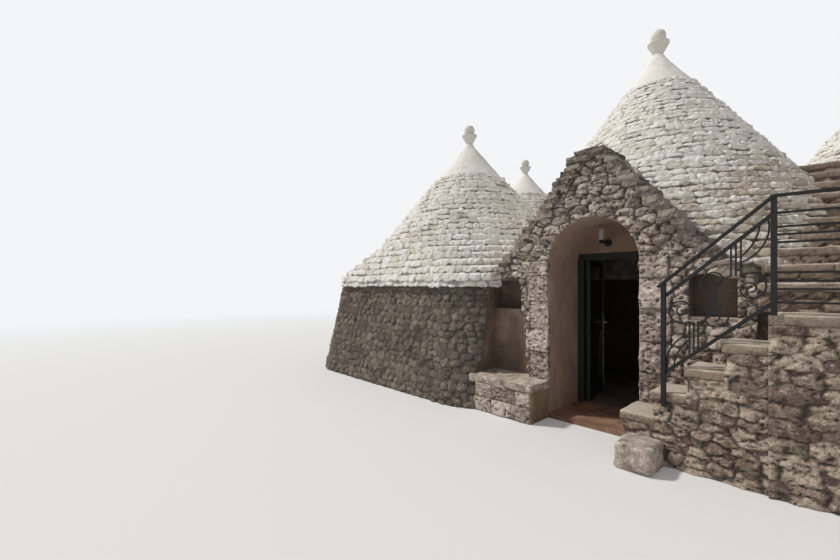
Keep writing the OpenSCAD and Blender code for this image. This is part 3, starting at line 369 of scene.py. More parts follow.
def rubble(name, rng, width, height, grid, place, inside, spots, material, slot, stand=0.026,
           joint=0.014, stretch=1.5, pits=0.008, back=0.03, blocks=None, plaster=nowhere):
    """A skin of stones over a wall. place gives the point at a distance along, up and out;
    inside gives how far a point of the wall lies inside the area that the stones cover.
    blocks are squared stones, each from a low to a high corner; plaster fills the joints."""
    flat, faces = covered_grid(width, height, grid, place, inside)
    base = place(flat[:, 0], flat[:, 1], np.zeros(len(flat)))
    warp = np.stack([layered_noise(base, 0.14, 4, 5), layered_noise(base + 3.7, 0.14, 4, 6)], axis=1)
    which, edge = nearest_two(spots, flat + STONE_RAGGED * warp, stretch)
    broken = np.ones(len(flat))
    if blocks is not None:
        ragged = (flat + BLOCK_RAGGED * warp)[:, None]
        within = np.minimum(ragged - blocks[None, :, :2], blocks[None, :, 2:] - ragged).min(axis=2)
        owner = within.argmax(axis=1)
        within = within.max(axis=1)
        which = np.where(within > 0, len(spots) + owner, which)
        edge = np.where(within > 0, within, np.minimum(edge, -within))
        broken = np.where(within > 0, BLOCK_BROKEN, 1.0)
        spots = np.concatenate([spots, (blocks[:, :2] + blocks[:, 2:]) / 2])
    tone = rng.uniform(0, 1, len(spots))
    proud = rng.uniform(0.45, 1.0, len(spots))
    lean = rng.normal(0, 0.07, (len(spots), 2))
    away = flat - spots[which]
    chip = np.minimum(broken * chipped(rng, len(spots), which, away), DEEPEST_CHIP * stand)
    filled = plaster(base)
    raised = smooth(edge / joint)
    coarse = layered_noise(base, 0.085, 2, 11)
    # limestone breaks and weathers along its bedding, so its knots and holes lie flat
    bedded = base * (1.0, 1.0, 1.7)
    knots = layered_noise(bedded, 0.040, 3, 12)
    holes = np.maximum(layered_noise(bedded, 0.030, 2, 17) - 0.24, 0)
    face = stand * proud[which] + (lean[which] * np.clip(away, -0.15, 0.15)).sum(axis=1) - chip
    out = STONE_LIFT + (1 - filled) * raised * (face + 0.30 * stand * coarse)
    out += filled * (0.55 * stand + 0.004 * coarse)
    out += (0.35 + 0.65 * raised) * (1 - 0.8 * filled) * pits * (0.9 * knots - 2.2 * holes)
    points = place(flat[:, 0], flat[:, 1], np.maximum(out, 0.001))
    rim, faces = turned_rim(faces, len(flat))
    sunk = place(flat[rim, 0], flat[rim, 1], np.full(len(rim), -back))
    # The finishes paint a highlight where this relief is high, shade where it is low, and shade along the
    # joint.
    relief = 0.5 + 0.26 * knots - 0.7 * holes + 0.10 * coarse - 4.0 * chip
    carried = {"tone": tone[which], "joint": (1 - raised) * (1 - filled), "relief": relief, "filled": filled}
    carried = {key: np.concatenate([value, value[rim]]) for key, value in carried.items()}
    return mesh_piece(name, np.concatenate([points, sunk]), faces, material, slot, **carried)


def outline(half, corner, distance):
    """A place along a square outline with rounded corners, and the direction out of it there."""
    half, corner, distance = np.broadcast_arrays(half, corner, distance)
    flat = half - corner
    turn = corner * math.pi / 2
    side = 2 * flat + turn
    quarter = np.floor(distance / side)
    run = distance - quarter * side
    bend = np.clip((run - flat) / corner, 0, math.pi / 2)
    late = np.maximum(run - flat - turn, 0)
    x = flat + corner * np.cos(bend) - late
    y = np.minimum(run, flat) + corner * np.sin(bend)
    angle = quarter * math.pi / 2
    ca, sa = np.cos(angle), np.sin(angle)
    nx, ny = np.cos(bend), np.sin(bend)
    return x * ca - y * sa, x * sa + y * ca, nx * ca - ny * sa, nx * sa + ny * ca


def outline_length(half, corner):
    return 8 * (half - corner) + 2 * math.pi * corner


class Trullo:
    """The place and sizes of one round trullo, as its solids have them: the heights of its
    apex, its walls and the foot of its cap, the half widths of its walls and its eave, and how
    many courses of slabs its roof has."""

    EAVE_SLAB = 0.07

    def __init__(self, name, x, y, apex, walls, radius, eave, cap, courses):
        self.name = name
        self.x = x
        self.y = y
        self.apex = apex
        self.walls = walls
        self.radius = radius
        self.eave = eave
        self.cap = cap
        self.foot = walls + self.EAVE_SLAB
        self.pitch = eave / (apex - self.foot)
        self.courses = courses

    def cone(self, z):
        """Half width and corner radius of the roof at a height."""
        reach = self.pitch * (self.apex - z)
        return reach, reach

    def wall(self, z):
        """Half width and corner radius of the wall at a height."""
        return self.radius + 0 * z, self.radius + 0 * z

    def feet(self):
        """The heights at which the courses of the roof start, thinner towards the cap."""
        share = np.arange(self.courses + 1) / self.courses
        return self.foot + (self.cap - self.foot) * share * (1.2 - 0.2 * share)

    def clear(self, p, buried):
        """How far points lie outside a round trullo, with some depth of it taken off."""
        z = p[:, 2]
        reach = np.where(z < self.walls, self.radius, self.pitch * (self.apex - np.maximum(z, self.foot)))
        return np.hypot(p[:, 0] - self.x, p[:, 1] - self.y) - reach + buried


class SquareTrullo(Trullo):
    """The left trullo, whose walls lean in and whose roof has a square skirt under its cone."""

    SKIRT_TOP, SKIRT_TOP_HALF = 2.25, 1.75
    EAVE_CORNER = 0.95
    WALL_LEAN = 0.28
    WALL_CORNER, WALL_CORNER_LEAN = 0.90, 0.10

    def __init__(self, name, **sizes):
        super().__init__(name, **sizes)
        self.pitch = self.SKIRT_TOP_HALF / (self.apex - self.SKIRT_TOP)

    def cone(self, z):
        share = np.clip((z - self.foot) / (self.SKIRT_TOP - self.foot), 0, 1)
        reach = self.pitch * (self.apex - z)
        half = self.eave + (self.SKIRT_TOP_HALF - self.eave) * share
        corner = self.EAVE_CORNER + (self.SKIRT_TOP_HALF - self.EAVE_CORNER) * share
        return np.where(z < self.SKIRT_TOP, half, reach), np.where(z < self.SKIRT_TOP, corner, reach)

    def wall(self, z):
        share = np.clip(z / self.walls, 0, 1)
        return self.radius - self.WALL_LEAN * share, self.WALL_CORNER - self.WALL_CORNER_LEAN * share


main = Trullo("main", x=0.0, y=2.33, apex=5.12, walls=1.70, radius=2.34, eave=2.42, cap=4.50,
              courses=37)
left = SquareTrullo("left", x=-3.2, y=1.72, apex=4.44, walls=1.58, radius=2.28, eave=2.08, cap=3.65,
                    courses=21)
rear = Trullo("rear", x=-4.0, y=5.0, apex=4.64, walls=1.64, radius=2.26, eave=2.34, cap=3.98,
              courses=24)
right = Trullo("right", x=2.55, y=4.98, apex=5.00, walls=1.70, radius=2.30, eave=2.38, cap=4.38,
               courses=35)


def short_of(one, other):
    """How far points lie on the first trullo's side of the valley in which two roofs meet."""
    dx, dy = other.x - one.x, other.y - one.y
    apart = math.hypot(dx, dy)
    reach = (one.apex - other.apex + apart / other.pitch) / (1 / one.pitch + 1 / other.pitch)
    return lambda p: reach - (p[:, 0] - one.x) * dx / apart - (p[:, 1] - one.y) * dy / apart


def outside_round(centre, radius):
    return lambda p: np.hypot(p[:, 0] - centre.x, p[:, 1] - centre.y) - radius


FRONT_RIGHT = 1.44
MAIN_WALL_FROM = 0.2
STEPS_TURN = math.radians(9)
UPPER_WIDTH, UPPER_DEPTH = 1.70, 3.50
UPPER_FIRST, UPPER_RISE, UPPER_GOING, UPPER_COUNT = 1.61, 0.16, 0.25, 10
UPPER_TREAD = 0.06
STONES_RUN_ON = 0.04


def steps_frame(p):
    """Points as distances along the front of the upper flight and back into it."""
    dx, dy = p[:, 0] - FRONT_RIGHT, p[:, 1]
    return (dx * math.cos(STEPS_TURN) + dy * math.sin(STEPS_TURN),
            dy * math.cos(STEPS_TURN) - dx * math.sin(STEPS_TURN))


def under_upper_treads(back):
    """The height of the rubble under the upper treads, at a distance back into the flight."""
    step = np.clip(np.floor(back / UPPER_GOING), 0, UPPER_COUNT - 1)
    return UPPER_FIRST - UPPER_TREAD + step * UPPER_RISE


def clear_of_steps(p):
    """How far points lie outside the rubble of the upper flight, less what stones run on into it."""
    u, v = steps_frame(p)
    return np.maximum.reduce([u - UPPER_WIDTH + STONES_RUN_ON, v - UPPER_DEPTH + STONES_RUN_ON, -v,
                              p[:, 2] - under_upper_treads(v)])


def least(*tests):
    return lambda p: np.minimum.reduce([test(p) for test in tests])


def wall_place(house, length):
    """Places on a trullo's wall, at a distance along it, up it and out of it."""
    def place(along, up, out):
        half, corner = house.wall(up)
        full = outline_length(half, corner)
        x, y, nx, ny = outline(half, corner, along / length * full)
        return np.stack([house.x + x + nx * out, house.y + y + ny * out, up], axis=1)
    return place


def under_eave(p):
    """Plaster under the eave of the left wall."""
    return 0.85 * smooth((p[:, 2] - 1.50 + 0.06 * layered_noise(p, 0.3, 3, 43)) / 0.08)


# The rubble's colours are set darker than the stone's own grey brown: partly painted shade, the shade of the
# trees over the left wall.
RUBBLE_DARK = rgb(0.088, 0.070, 0.054)
RUBBLE_MID = rgb(0.205, 0.170, 0.136)
RUBBLE_PALE = rgb(0.370, 0.320, 0.268)
JOINT_SHADE = rgb(0.030, 0.024, 0.019)
WALL_PLASTER = rgb(0.190, 0.146, 0.108)
stone = Finish("rubble_stone")
where = stone.place()
tone = stone.carried("tone")
cloud = stone.noise(where, 0.6, 5, 0.6)
grain = stone.noise(where, 0.030, 6, 0.72)
streak = stone.noise(stone.stretched(9.0, 9.0, 0.8), 1.0, 4, 0.6)
# Where the carried relief is high, the stones' raised parts are painted pale: a painted highlight, on top of
# the stone's grain and tone.
broken = grain + 0.45 * stone.carried("relief") + 0.12 * tone
shade = stone.blend(stone.ramp(0.32 * tone + 0.75 * cloud, 0.25, 0.80), RUBBLE_DARK, RUBBLE_MID)
shade = stone.blend(stone.ramp(broken, 0.76, 1.14), shade, RUBBLE_PALE)
# Painted shade: the joints between the stones are coloured near black, as recesses in shade.
shade = stone.blend(0.92 * stone.carried("joint"), shade, JOINT_SHADE)
shade = stone.blend(0.85 * stone.carried("filled"), shade, WALL_PLASTER)
shade = stone.blend(0.50 * stone.ramp(streak, 0.50, 0.68), shade, RUBBLE_DARK)
stone.bump(grain, 0.012)
rubble_material = stone.finish(shade, 0.95)

# the left wall is seen from near by and built of smaller stones than the others
BELOW_EAVE = 0.01
SEEN_GRID, SEEN_COURSE, SEEN_STONE = 0.018, 0.095, 0.15
WALL_GRID, WALL_COURSE, WALL_STONE = 0.027, 0.15, 0.24
rng = np.random.default_rng(11)
around = float(outline_length(*left.wall(left.walls / 2)))
rubble("left_wall_stones", rng, around, left.walls - BELOW_EAVE, SEEN_GRID, wall_place(left, around),
       least(short_of(left, main), short_of(left, rear)),
       coursed(rng, around, left.walls, SEEN_COURSE, SEEN_STONE), rubble_material, "rubble_wall",
       joint=0.011, pits=0.010, plaster=under_eave)
behind_front = least(lambda p: p[:, 1] - MAIN_WALL_FROM, outside_round(left, left.radius - left.WALL_LEAN))
for house, inside in (
        (rear, short_of(rear, left)),
        (right, least(short_of(right, main), clear_of_steps)),
        (main, least(short_of(main, left), short_of(main, right), clear_of_steps, behind_front))):
    around = 2 * math.pi * house.radius
    rubble(f"{house.name}_wall_stones", rng, around, house.walls - BELOW_EAVE, WALL_GRID,
           wall_place(house, around), inside, coursed(rng, around, house.walls, WALL_COURSE, WALL_STONE),
           rubble_material, "rubble_wall")
dress(rubble_material, "main_wall_right", "main_wall_back", "left_wall_side", "left_wall_rear",
      "rear_wall_left", "rear_wall_right", "right_wall_front", "right_wall_back")


# The flat front wall with its gable: pitted limestone, squared blocks at the doorway's jambs
# and small flat rubble above them, up to the arch's ragged edge.
DOOR_HALF = 0.505
SPRING = 1.86
JAMB_TOP = 1.90
GABLE_HALF, PEAK_HALF = 1.32, 0.13
GABLE_LOW, GABLE_TOP = 1.70, 3.11
FRONT_LEFT = -1.75
BENCH_TOP, BENCH_END = 0.44, -0.505
SEAT_UNDER = 0.36
NICHE_EDGE, NICHE_LEAN = -0.77, 0.1071
HOLE_LEFT, HOLE_RIGHT, HOLE_FOOT = 0.94, 1.31, 1.27
LOWER_FIRST, LOWER_RISE, LOWER_GOING, LOWER_COUNT = 0.40, 0.2425, 0.26375, 4


def under_slope(x, z, foot):
    """How far points lie under the gable's two slopes, or slopes like them from another foot."""
    rise, run = GABLE_TOP - GABLE_LOW, GABLE_HALF - PEAK_HALF
    return (rise * (GABLE_HALF - np.abs(x)) - run * (z - foot)) / math.hypot(rise, run)


def lower_top(x):
    """The height of the lower flight's treads at a place along the front."""
    return LOWER_FIRST + np.clip(np.floor((x - DOOR_HALF) / LOWER_GOING), 0, LOWER_COUNT - 1) * LOWER_RISE


def front_inside(p):
    """How far points lie inside the front's stonework, clear of all that is let into it."""
    x, z = p[:, 0], p[:, 2]
    wall = np.minimum(GABLE_LOW - z, FRONT_RIGHT - x)
    gable = np.minimum.reduce([under_slope(x, z, GABLE_LOW), GABLE_TOP - z, z - GABLE_LOW + 0.10])
    ragged = 0.013 * layered_noise(p, 0.10, 2, 41)
    arch = np.where(z > SPRING, np.hypot(x, z - SPRING), np.abs(x)) - DOOR_HALF - 0.004 + ragged
    niche_edge = NICHE_EDGE - NICHE_LEAN * (z - BENCH_TOP)
    niche = np.minimum.reduce([niche_edge - x, z - SEAT_UNDER, GABLE_LOW - z])
    hole = np.minimum.reduce([x - HOLE_LEFT, HOLE_RIGHT - x, z - HOLE_FOOT, GABLE_LOW - z])
    bench = np.minimum(BENCH_END + 0.005 - x, BENCH_TOP - z)
    flight = np.minimum(x - DOOR_HALF, lower_top(x) - z)
    let_in = np.maximum.reduce([niche, hole, bench, flight])
    return np.minimum.reduce([np.maximum(wall, gable), -let_in, arch, short_of(main, left)(p)])


def flat_place(start, front):
    """Places on a flat face that looks to the front, at a distance along it, up it and out of it."""
    return lambda along, up, out: np.stack([start + along, front - out, up], axis=1)


STONE_SHADE = rgb(0.050, 0.040, 0.033)
STONE_LOW = rgb(0.245, 0.192, 0.157)
STONE_MID = rgb(0.440, 0.362, 0.304)
STONE_PALE = rgb(0.720, 0.640, 0.560)
STONE_WEATHERED = rgb(0.280, 0.240, 0.214)


def broken_stone(name, low, middle, pale):
    """Limestone as it breaks: a painted highlight on its raised knots, painted shade in its holes, on its
    chipped faces and in its joints, and grey high up.
    """
    stone = Finish(name)
    where = stone.place()
    tone = stone.carried("tone")
    relief = stone.carried("relief")
    cloud = stone.noise(where, 0.40, 5, 0.6)
    grain = stone.noise(where, 0.026, 6, 0.75)
    pores = stone.node("ShaderNodeTexVoronoi", {"feature": "F1"}, {"Vector": where, "Scale": 75.0})
    pit = stone.ramp(pores, 0.10, 0.50)
    # Painted highlight: raised parts, where the carried relief is high, are painted pale, together with the
    # grain, tone and pores.
    knots = stone.ramp(grain + 0.5 * relief + 0.20 * tone + 0.12 * pit, 0.84, 1.20)
    shade = stone.blend(stone.ramp(0.7 * tone + 0.6 * cloud, 0.35, 0.95), low, middle)
    shade = stone.blend(0.7 * stone.ramp(stone.along(2) + 0.8 * cloud, 2.5, 3.2), shade, STONE_WEATHERED)
    shade = stone.blend(knots, shade, pale)
    # Painted shade in the holes and on the chipped faces, where the relief is low, and in the joints.
    shade = stone.blend(0.80 * stone.ramp(1 - relief, 0.60, 0.92), shade, STONE_SHADE)
    shade = stone.blend(0.92 * stone.carried("joint"), shade, STONE_SHADE)
    stone.bump(grain * 0.6 + pit * 0.4, 0.014)
    return stone.finish(shade, 0.95)


rng = np.random.default_rng(23)
front_width = FRONT_RIGHT - FRONT_LEFT
spots = coursed(rng, front_width, GABLE_TOP, 0.092, 0.185)
blocks = []
for side in (-1, 1):
    up = 0.0
    while up < JAMB_TOP - 0.1:
        row = min(rng.uniform(0.22, 0.42), JAMB_TOP - up)
        wide = rng.uniform(0.24, 0.40)
        ends = sorted([side * DOOR_HALF, side * (DOOR_HALF + wide)])
        blocks.append((ends[0] - FRONT_LEFT, up, ends[1] - FRONT_LEFT, up + row))
        up += row
front_material = broken_stone("front_stone", STONE_LOW, STONE_MID, STONE_PALE)
rubble("front_stones", rng, front_width, GABLE_TOP, 0.0105, flat_place(FRONT_LEFT, 0.0), front_inside,
       spots, front_material, "front_stone", stand=0.042, joint=0.010, stretch=1.85, pits=0.012,
       back=0.012, blocks=np.array(blocks))
dress(front_material, "front_wall_left", "front_wall_right", "gable_wall", "gable_coping")


# The coping of the gable: flat slabs of the same limestone, weathered to a dark grey brown,
# that step up both slopes and lie across the peak.
def block_surface(*counts):
    """Points and faces of a cube's surface from -1 to 1, closer together towards its edges."""
    ticks = []
    for count in counts:
        line = np.linspace(-1, 1, count + 1)
        ticks.append(np.sign(line) * np.abs(line) ** 0.6)
    index = {}
    points = []
    faces = []

    def point(spot):
        if spot not in index:
            index[spot] = len(points)
            points.append([ticks[axis][spot[axis]] for axis in range(3)])
        return index[spot]

    for axis in range(3):
        one, two = [a for a in range(3) if a != axis]
        for end in (0, counts[axis]):
            for i in range(counts[one]):
                for j in range(counts[two]):
                    ring = []
                    for a, b in ((0, 0), (1, 0), (1, 1), (0, 1)):
                        spot = [0, 0, 0]
                        spot[axis], spot[one], spot[two] = end, i + a, j + b
                        ring.append(point(tuple(spot)))
                    if (end > 0) == (axis == 1):
                        ring.reverse()
                    faces.append(ring)
    return np.array(points), np.array(faces)


def worn_blocks(surface, halves, wear, rng, lens=0.0):
    """Blocks of given half sizes with worn edges, each as points about its middle."""
    points, faces = surface
    halves = np.asarray(halves)
    wear = np.minimum(wear, halves.min(axis=1) * 0.9)[:, None, None]
    full = points[None] * halves[:, None, :]
    core = np.clip(full, wear - halves[:, None, :], halves[:, None, :] - wear)
    away = full - core
    size = np.linalg.norm(away, axis=2, keepdims=True)
    shape = core + wear * away / np.maximum(size, 1e-9) * (size > 1e-9)
    share = shape[:, :, 0] / halves[:, None, 0]
    shape[:, :, 2] *= 1 - lens * np.abs(share) ** 2.4
    shape[:, :, 2] += halves[:, None, 2] * share * rng.uniform(-0.18, 0.18, len(halves))[:, None]
    joined = (faces[None] + np.arange(len(halves))[:, None, None] * len(points)).reshape(-1, 4)
    return shape, joined


def roughen(points, amount, size, seed):
    """Moves points a little, each in its own direction, as broken stone is rough."""
    flat = points.reshape(-1, 3)
    moved = np.stack([layered_noise(flat + k, size, 2, seed + k) for k in range(3)], axis=1)
    return (flat + amount * moved).reshape(points.shape)


COPING_OUT = 0.020
COPING_DEPTHS = (0.16, 0.385)
PEAK_SLABS = ((0.00, 0.165, 3.088), (0.09, 0.15, 3.030), (-0.12, 0.13, 3.024))
PEAK_MIDDLE, PEAK_HALF_DEPTH, PEAK_HALF_THICK = 0.155, 0.220, 0.032
gable_lean = (GABLE_HALF - PEAK_HALF) / (GABLE_TOP - GABLE_LOW)
# each slab is its middle, its half sizes and its tilt
rng = np.random.default_rng(37)
slabs = []
for side in (-1, 1):
    up = GABLE_LOW - 0.03
    while up < GABLE_TOP - 0.07:
        thick = rng.uniform(0.038, 0.072)
        edge = GABLE_HALF - (up + thick - GABLE_LOW) * gable_lean + COPING_OUT
        reach = rng.uniform(0.055, 0.105)
        stand = rng.uniform(0.008, 0.030)
        # each course has a slab that shows in front and one behind it
        for start, end in ((-rng.uniform(0.035, 0.080), rng.uniform(0.10, 0.22)), COPING_DEPTHS):
            slabs.append((side * (edge + stand - reach), (start + end) / 2, up + thick / 2,
                          reach, (end - start) / 2, thick / 2 * 1.12, side * rng.uniform(-0.06, 0.16)))
        up += thick
for x, wide, z in PEAK_SLABS:
    slabs.append((x, PEAK_MIDDLE, z, wide, PEAK_HALF_DEPTH, PEAK_HALF_THICK, rng.uniform(-0.05, 0.05)))
slabs = np.array(slabs)
shape, joined = worn_blocks(block_surface(9, 9, 4), slabs[:, 3:6], 0.007, rng, 0.15)
angle = slabs[:, 6][:, None]
turned = np.stack([shape[:, :, 0] * np.cos(angle) + shape[:, :, 2] * np.sin(angle), shape[:, :, 1],
                   shape[:, :, 2] * np.cos(angle) - shape[:, :, 0] * np.sin(angle)], axis=2)
shape = roughen(roughen(turned + slabs[:, None, 0:3], 0.012, 0.085, 3), 0.007, 0.026, 5)
COPING_DARK = rgb(0.060, 0.050, 0.042)
COPING_MID = rgb(0.350, 0.292, 0.248)
stone = Finish("coping_stone")
grain = stone.noise(stone.place(), 0.05, 6, 0.72)
shade = stone.blend(stone.ramp(grain + 0.36 * stone.carried("tone"), 0.42, 0.80), COPING_DARK, COPING_MID)
stone.bump(grain, 0.014)
coping = mesh_piece("gable_coping_stones", shape.reshape(-1, 3), joined, stone.finish(shade, 0.95),
                    "front_stone", rounded=False,
                    tone=np.repeat(rng.uniform(0, 1, len(slabs)), shape.shape[1]))
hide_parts("gable_coping")


# The plaster of the deep reveal, of the field over the door and of the niches: lime with
# brown earth in it, put on by hand and stained by rain.
def earth_plaster(name, dark, middle, pale):
    """Lime plaster with earth in it, blotched, with weak streaks."""
    plaster = Finish(name)
    where = plaster.place()
    cloud = plaster.noise(where, 0.35, 6, 0.62)
    streak = plaster.noise(plaster.stretched(6.0, 6.0, 1.8), 1.0, 4, 0.6)
    grain = plaster.noise(where, 0.014, 5, 0.65)
    shade = plaster.blend(plaster.ramp(0.55 * cloud + 0.45 * streak, 0.30, 0.72), dark, middle)
    shade = plaster.blend(0.45 * plaster.ramp(cloud + 0.30 * grain, 0.62, 0.90), shade, pale)
    plaster.bump(grain * 0.4 + cloud * 0.6, 0.010)
    return plaster.finish(shade, 0.92)


PLASTER_DARK = rgb(0.330, 0.236, 0.184)
PLASTER_MID = rgb(0.430, 0.310, 0.238)
PLASTER_PALE = rgb(0.540, 0.425, 0.335)
FIELD_DARK, FIELD_MID = rgb(0.200, 0.130, 0.092), rgb(0.285, 0.195, 0.142)
NICHE_DARK, NICHE_MID = rgb(0.140, 0.103, 0.078), rgb(0.230, 0.172, 0.130)
dress(earth_plaster("brown_plaster", PLASTER_DARK, PLASTER_MID, PLASTER_PALE), "reveal_lining")
dress(earth_plaster("field_plaster", FIELD_DARK, FIELD_MID, PLASTER_MID), "tympanum")
dress(earth_plaster("niche_earth", NICHE_DARK, NICHE_MID, PLASTER_MID), "niche_plaster", "left_wall_front")


# The roofs: flat limestone slabs laid dry in level courses, whose edges stand out over the
# course below, and washed again and again with lime, which fills the joints between them.
LIME_WHITE = rgb(0.830, 0.805, 0.755)
LIME_WARM = rgb(0.650, 0.592, 0.515)
LIME_SHADE = rgb(0.380, 0.350, 0.310)
LIME_BARE = rgb(0.450, 0.372, 0.290)
lime = Finish("limewash")
where = lime.place()
tone = lime.carried("tone")
cloud = lime.noise(where, 0.8, 5, 0.6)
grain = lime.noise(where, 0.035, 6, 0.7)
speck = lime.noise(where, 0.010, 3, 0.6)
worn = lime.ramp(grain + 0.50 * lime.carried("bare") + 0.30 * tone, 0.84, 1.26)
shade = lime.blend(lime.ramp(0.6 * cloud + 0.30 * grain + 0.32 * tone, 0.55, 0.95), LIME_WHITE, LIME_WARM)
shade = lime.blend(0.85 * worn, shade, LIME_BARE)
# Painted shade: the carried joint share greys the lime under each slab's lip, over its back where the next
# course lies, and in the gaps at the slabs' ends.
shade = lime.blend(0.75 * lime.ramp(lime.carried("joint") + 0.6 * grain, 0.55, 1.20), shade, LIME_SHADE)
lime.bump(grain * 0.75 + speck * 0.25, 0.012)
lime_material = lime.finish(shade, 0.92)

# The outline of a slab's edge goes out along its underside, up its face and back over its top.
COURSE_OUT = 0.016
EAVE_OUT = 0.003
SLAB_LENGTHS = (0.09, 0.28)
END_ROUND, END_OPEN, END_SHADE = 0.045, 0.020, 0.018
LEAST_PROUD, MOST_PROUD = -0.004, 0.032
UNDER_IN, OVER_IN = 0.014, 0.012
EDGE_HEIGHTS = np.array([0, 0, 0.2, 0.55, 0.86, 1.0, 1.0])
# The share of painted shade on each row of the outline, and the width over which the slabs' ends are painted
# darker.
EDGE_SHADE = np.array([1.0, 0.75, 0.0, 0.0, 0.0, 0.25, 0.6])
FINE_COLUMN, PLAIN_COLUMN = 0.027, 0.036
RUN_ON = 0.15


def lay_course(rng, run, columns, lengths, low, high, back, out):
    """One course of slabs: for each column along it, the outward place and the height of its
    edge's outline, from the bed under it to the bed over it. back is how far the next course
    lies behind this one. Returns the distances along, the outline, each slab's tone and the
    share of painted shade at each point: under the lip, over the back and at the slabs' ends."""
    ends = np.cumsum(rng.uniform(*lengths, math.ceil(run / lengths[0]) + 1))
    ends = ends[:np.searchsorted(ends, run) + 1]
    ends *= run / ends[-1]
    along = np.arange(columns) * run / columns
    nearest = np.minimum(np.round(ends / run * columns).astype(int), columns - 1)
    along[nearest] = np.minimum(ends, run - 0.001)
    slab = np.searchsorted(ends, along, side="right") % len(ends)
    begins = np.concatenate([[0], ends])
    middle = (begins[slab] + begins[slab + 1]) / 2
    gap = np.minimum(np.abs(along - begins[slab]), np.abs(begins[slab + 1] - along))
    ended = 1 - smooth(gap / END_ROUND)
    count = len(ends)
    proud = rng.gamma(2.0, 0.0065, count)[slab] + (rng.normal(0, 0.05, count)[slab] * (along - middle))
    proud = np.clip(proud, LEAST_PROUD, MOST_PROUD)
    drop = rng.normal(0, 0.10, count)[slab]
    rise = rng.normal(0, 0.10, count)[slab]
    tall = high - low
    foot = low + tall * np.clip(drop + 0.24 * ended, -0.22, 0.42)
    head = high + tall * np.clip(rise - 0.17 * ended, -0.33, 0.12)
    face = out + proud - 0.011 * (1 - smooth(gap / END_OPEN))
    lean = rng.uniform(0.004, 0.026, count)[slab]
    top = face - lean
    outs = np.stack([np.full(columns, -UNDER_IN), face - 0.007, face + 0.002, face - 0.3 * lean, top,
                     np.minimum(top, 0.5 * (proud - back)), np.full(columns, -back - OVER_IN)])
    ups = foot + (head - foot) * EDGE_HEIGHTS[:, None]
    ups[0] = low + 0.006
    ups[-1] = high + 0.008
    # Painted shade: full under the lip, part over the back, and more in the gaps at the slabs' ends.
    shade_share = np.maximum(EDGE_SHADE[:, None] + 0 * ups, 0.60 * (1 - smooth(gap / END_SHADE)))
    return along, outs, ups, rng.uniform(0, 1, count)[slab], shade_share


def course_faces(rows, columns, closed, kept):
    """Faces between neighbouring columns and rows, for the columns that are kept."""
    col = np.arange(columns if closed else columns - 1)
    col = col[kept[col] & kept[(col + 1) % columns]]
    return np.concatenate([np.stack([
        r * columns + col, r * columns + (col + 1) % columns,
        (r + 1) * columns + (col + 1) % columns, (r + 1) * columns + col], axis=1) for r in range(rows - 1)])


class Courses:
    """Courses of slabs, gathered into one mesh."""

    def __init__(self):
        self.points = []
        self.faces = []
        self.tones = []
        self.joints = []
        self.count = 0

    def add(self, points, closed, kept, tone, joint):
        """Adds a course whose points are in rows and columns, but for columns not kept."""
        rows, columns, _ = points.shape
        if kept.sum() > 2:
            self.faces.append(course_faces(rows, columns, closed, kept) + self.count)
            self.points.append(points.reshape(-1, 3))
            self.tones.append(np.tile(tone, rows))
            self.joints.append(joint.ravel())
            self.count += rows * columns

    def piece(self, name, bare):
        points = np.concatenate(self.points)
        faces = np.concatenate(self.faces)
        used = np.unique(faces)
        number = np.zeros(len(points), dtype=np.int64)
        number[used] = np.arange(len(used))
        points = roughen(points[used], 0.011, 0.040, 7)
        # The joint attribute carries the courses' painted shade.
        mesh_piece(name, points, number[faces], lime_material, "limewash", rounded=False,
                   tone=np.concatenate(self.tones)[used], joint=np.concatenate(self.joints)[used],
                   bare=bare(points))


def lay_roof(house, seed, shown, bare, column):
    """The slabs of one roof, from its eaves to its cap. shown gives how far a point lies outside
    the parts that hide slabs, and column is the width of a column of points."""
    rng = np.random.default_rng(seed)
    laid = Courses()
    feet = np.concatenate([[house.walls - 0.006], house.feet()])
    for k, (low, high) in enumerate(zip(feet[:-1], feet[1:])):
        half, corner = (float(v) for v in house.cone(np.array(max(low, house.foot))))
        above = float(house.cone(np.array(high))[0])
        run = outline_length(half, corner)
        along, outs, ups, tone, shade_share = lay_course(
            rng, run, round(run / column), SLAB_LENGTHS, low, high, half - above,
            COURSE_OUT if k > 1 else EAVE_OUT)
        x, y, nx, ny = outline(half, corner, along)
        points = np.stack([house.x + x + nx * outs, house.y + y + ny * outs, ups], axis=2)
        laid.add(points, True, shown(points[3]) > -RUN_ON, tone, shade_share)
    laid.piece(f"{house.name}_roof_slabs", bare)


SADDLE_DROP = 0.08
SADDLE_BACK = 0.95


def clear_of_saddle(p):
    """How far points lie outside the saddle roof behind the gable."""
    side = under_slope(p[:, 0], p[:, 2], GABLE_LOW - SADDLE_DROP)
    return np.maximum.reduce([-side, p[:, 2] - GABLE_TOP + SADDLE_DROP, p[:, 1] - SADDLE_BACK])


def worn_low_right(p):
    """The main roof is barer towards its lower right, where feet pass on the steps."""
    return np.clip((p[:, 0] - 0.1) / 1.2, 0, 1) * np.clip((4.0 - p[:, 2]) / 1.4, 0, 1)


lay_roof(main, 51, least(short_of(main, left), short_of(main, right), clear_of_saddle, clear_of_steps),
         worn_low_right, FINE_COLUMN)
lay_roof(left, 52, least(short_of(left, main), short_of(left, rear)), nowhere, FINE_COLUMN)
lay_roof(rear, 53, short_of(rear, left), nowhere, PLAIN_COLUMN)
lay_roof(right, 54, least(short_of(right, main), clear_of_steps), nowhere, PLAIN_COLUMN)


def mottled(name, patches, dark, pale, rough, span=None, depth=None, **sockets):
    """A finish that goes from one colour to another in soft patches, which are the size, the
    detail and the roughness of a noise. span is the part of the noise over which it does so,
    and depth is how far the patches stand out."""
    plain = Finish(name, **sockets)
    cloud = plain.noise(plain.place(), *patches)
    if depth:
        plain.bump(cloud, depth)
    factor = plain.ramp(cloud, *span) if span else cloud
    return plain.finish(plain.blend(factor, dark, pale), rough)


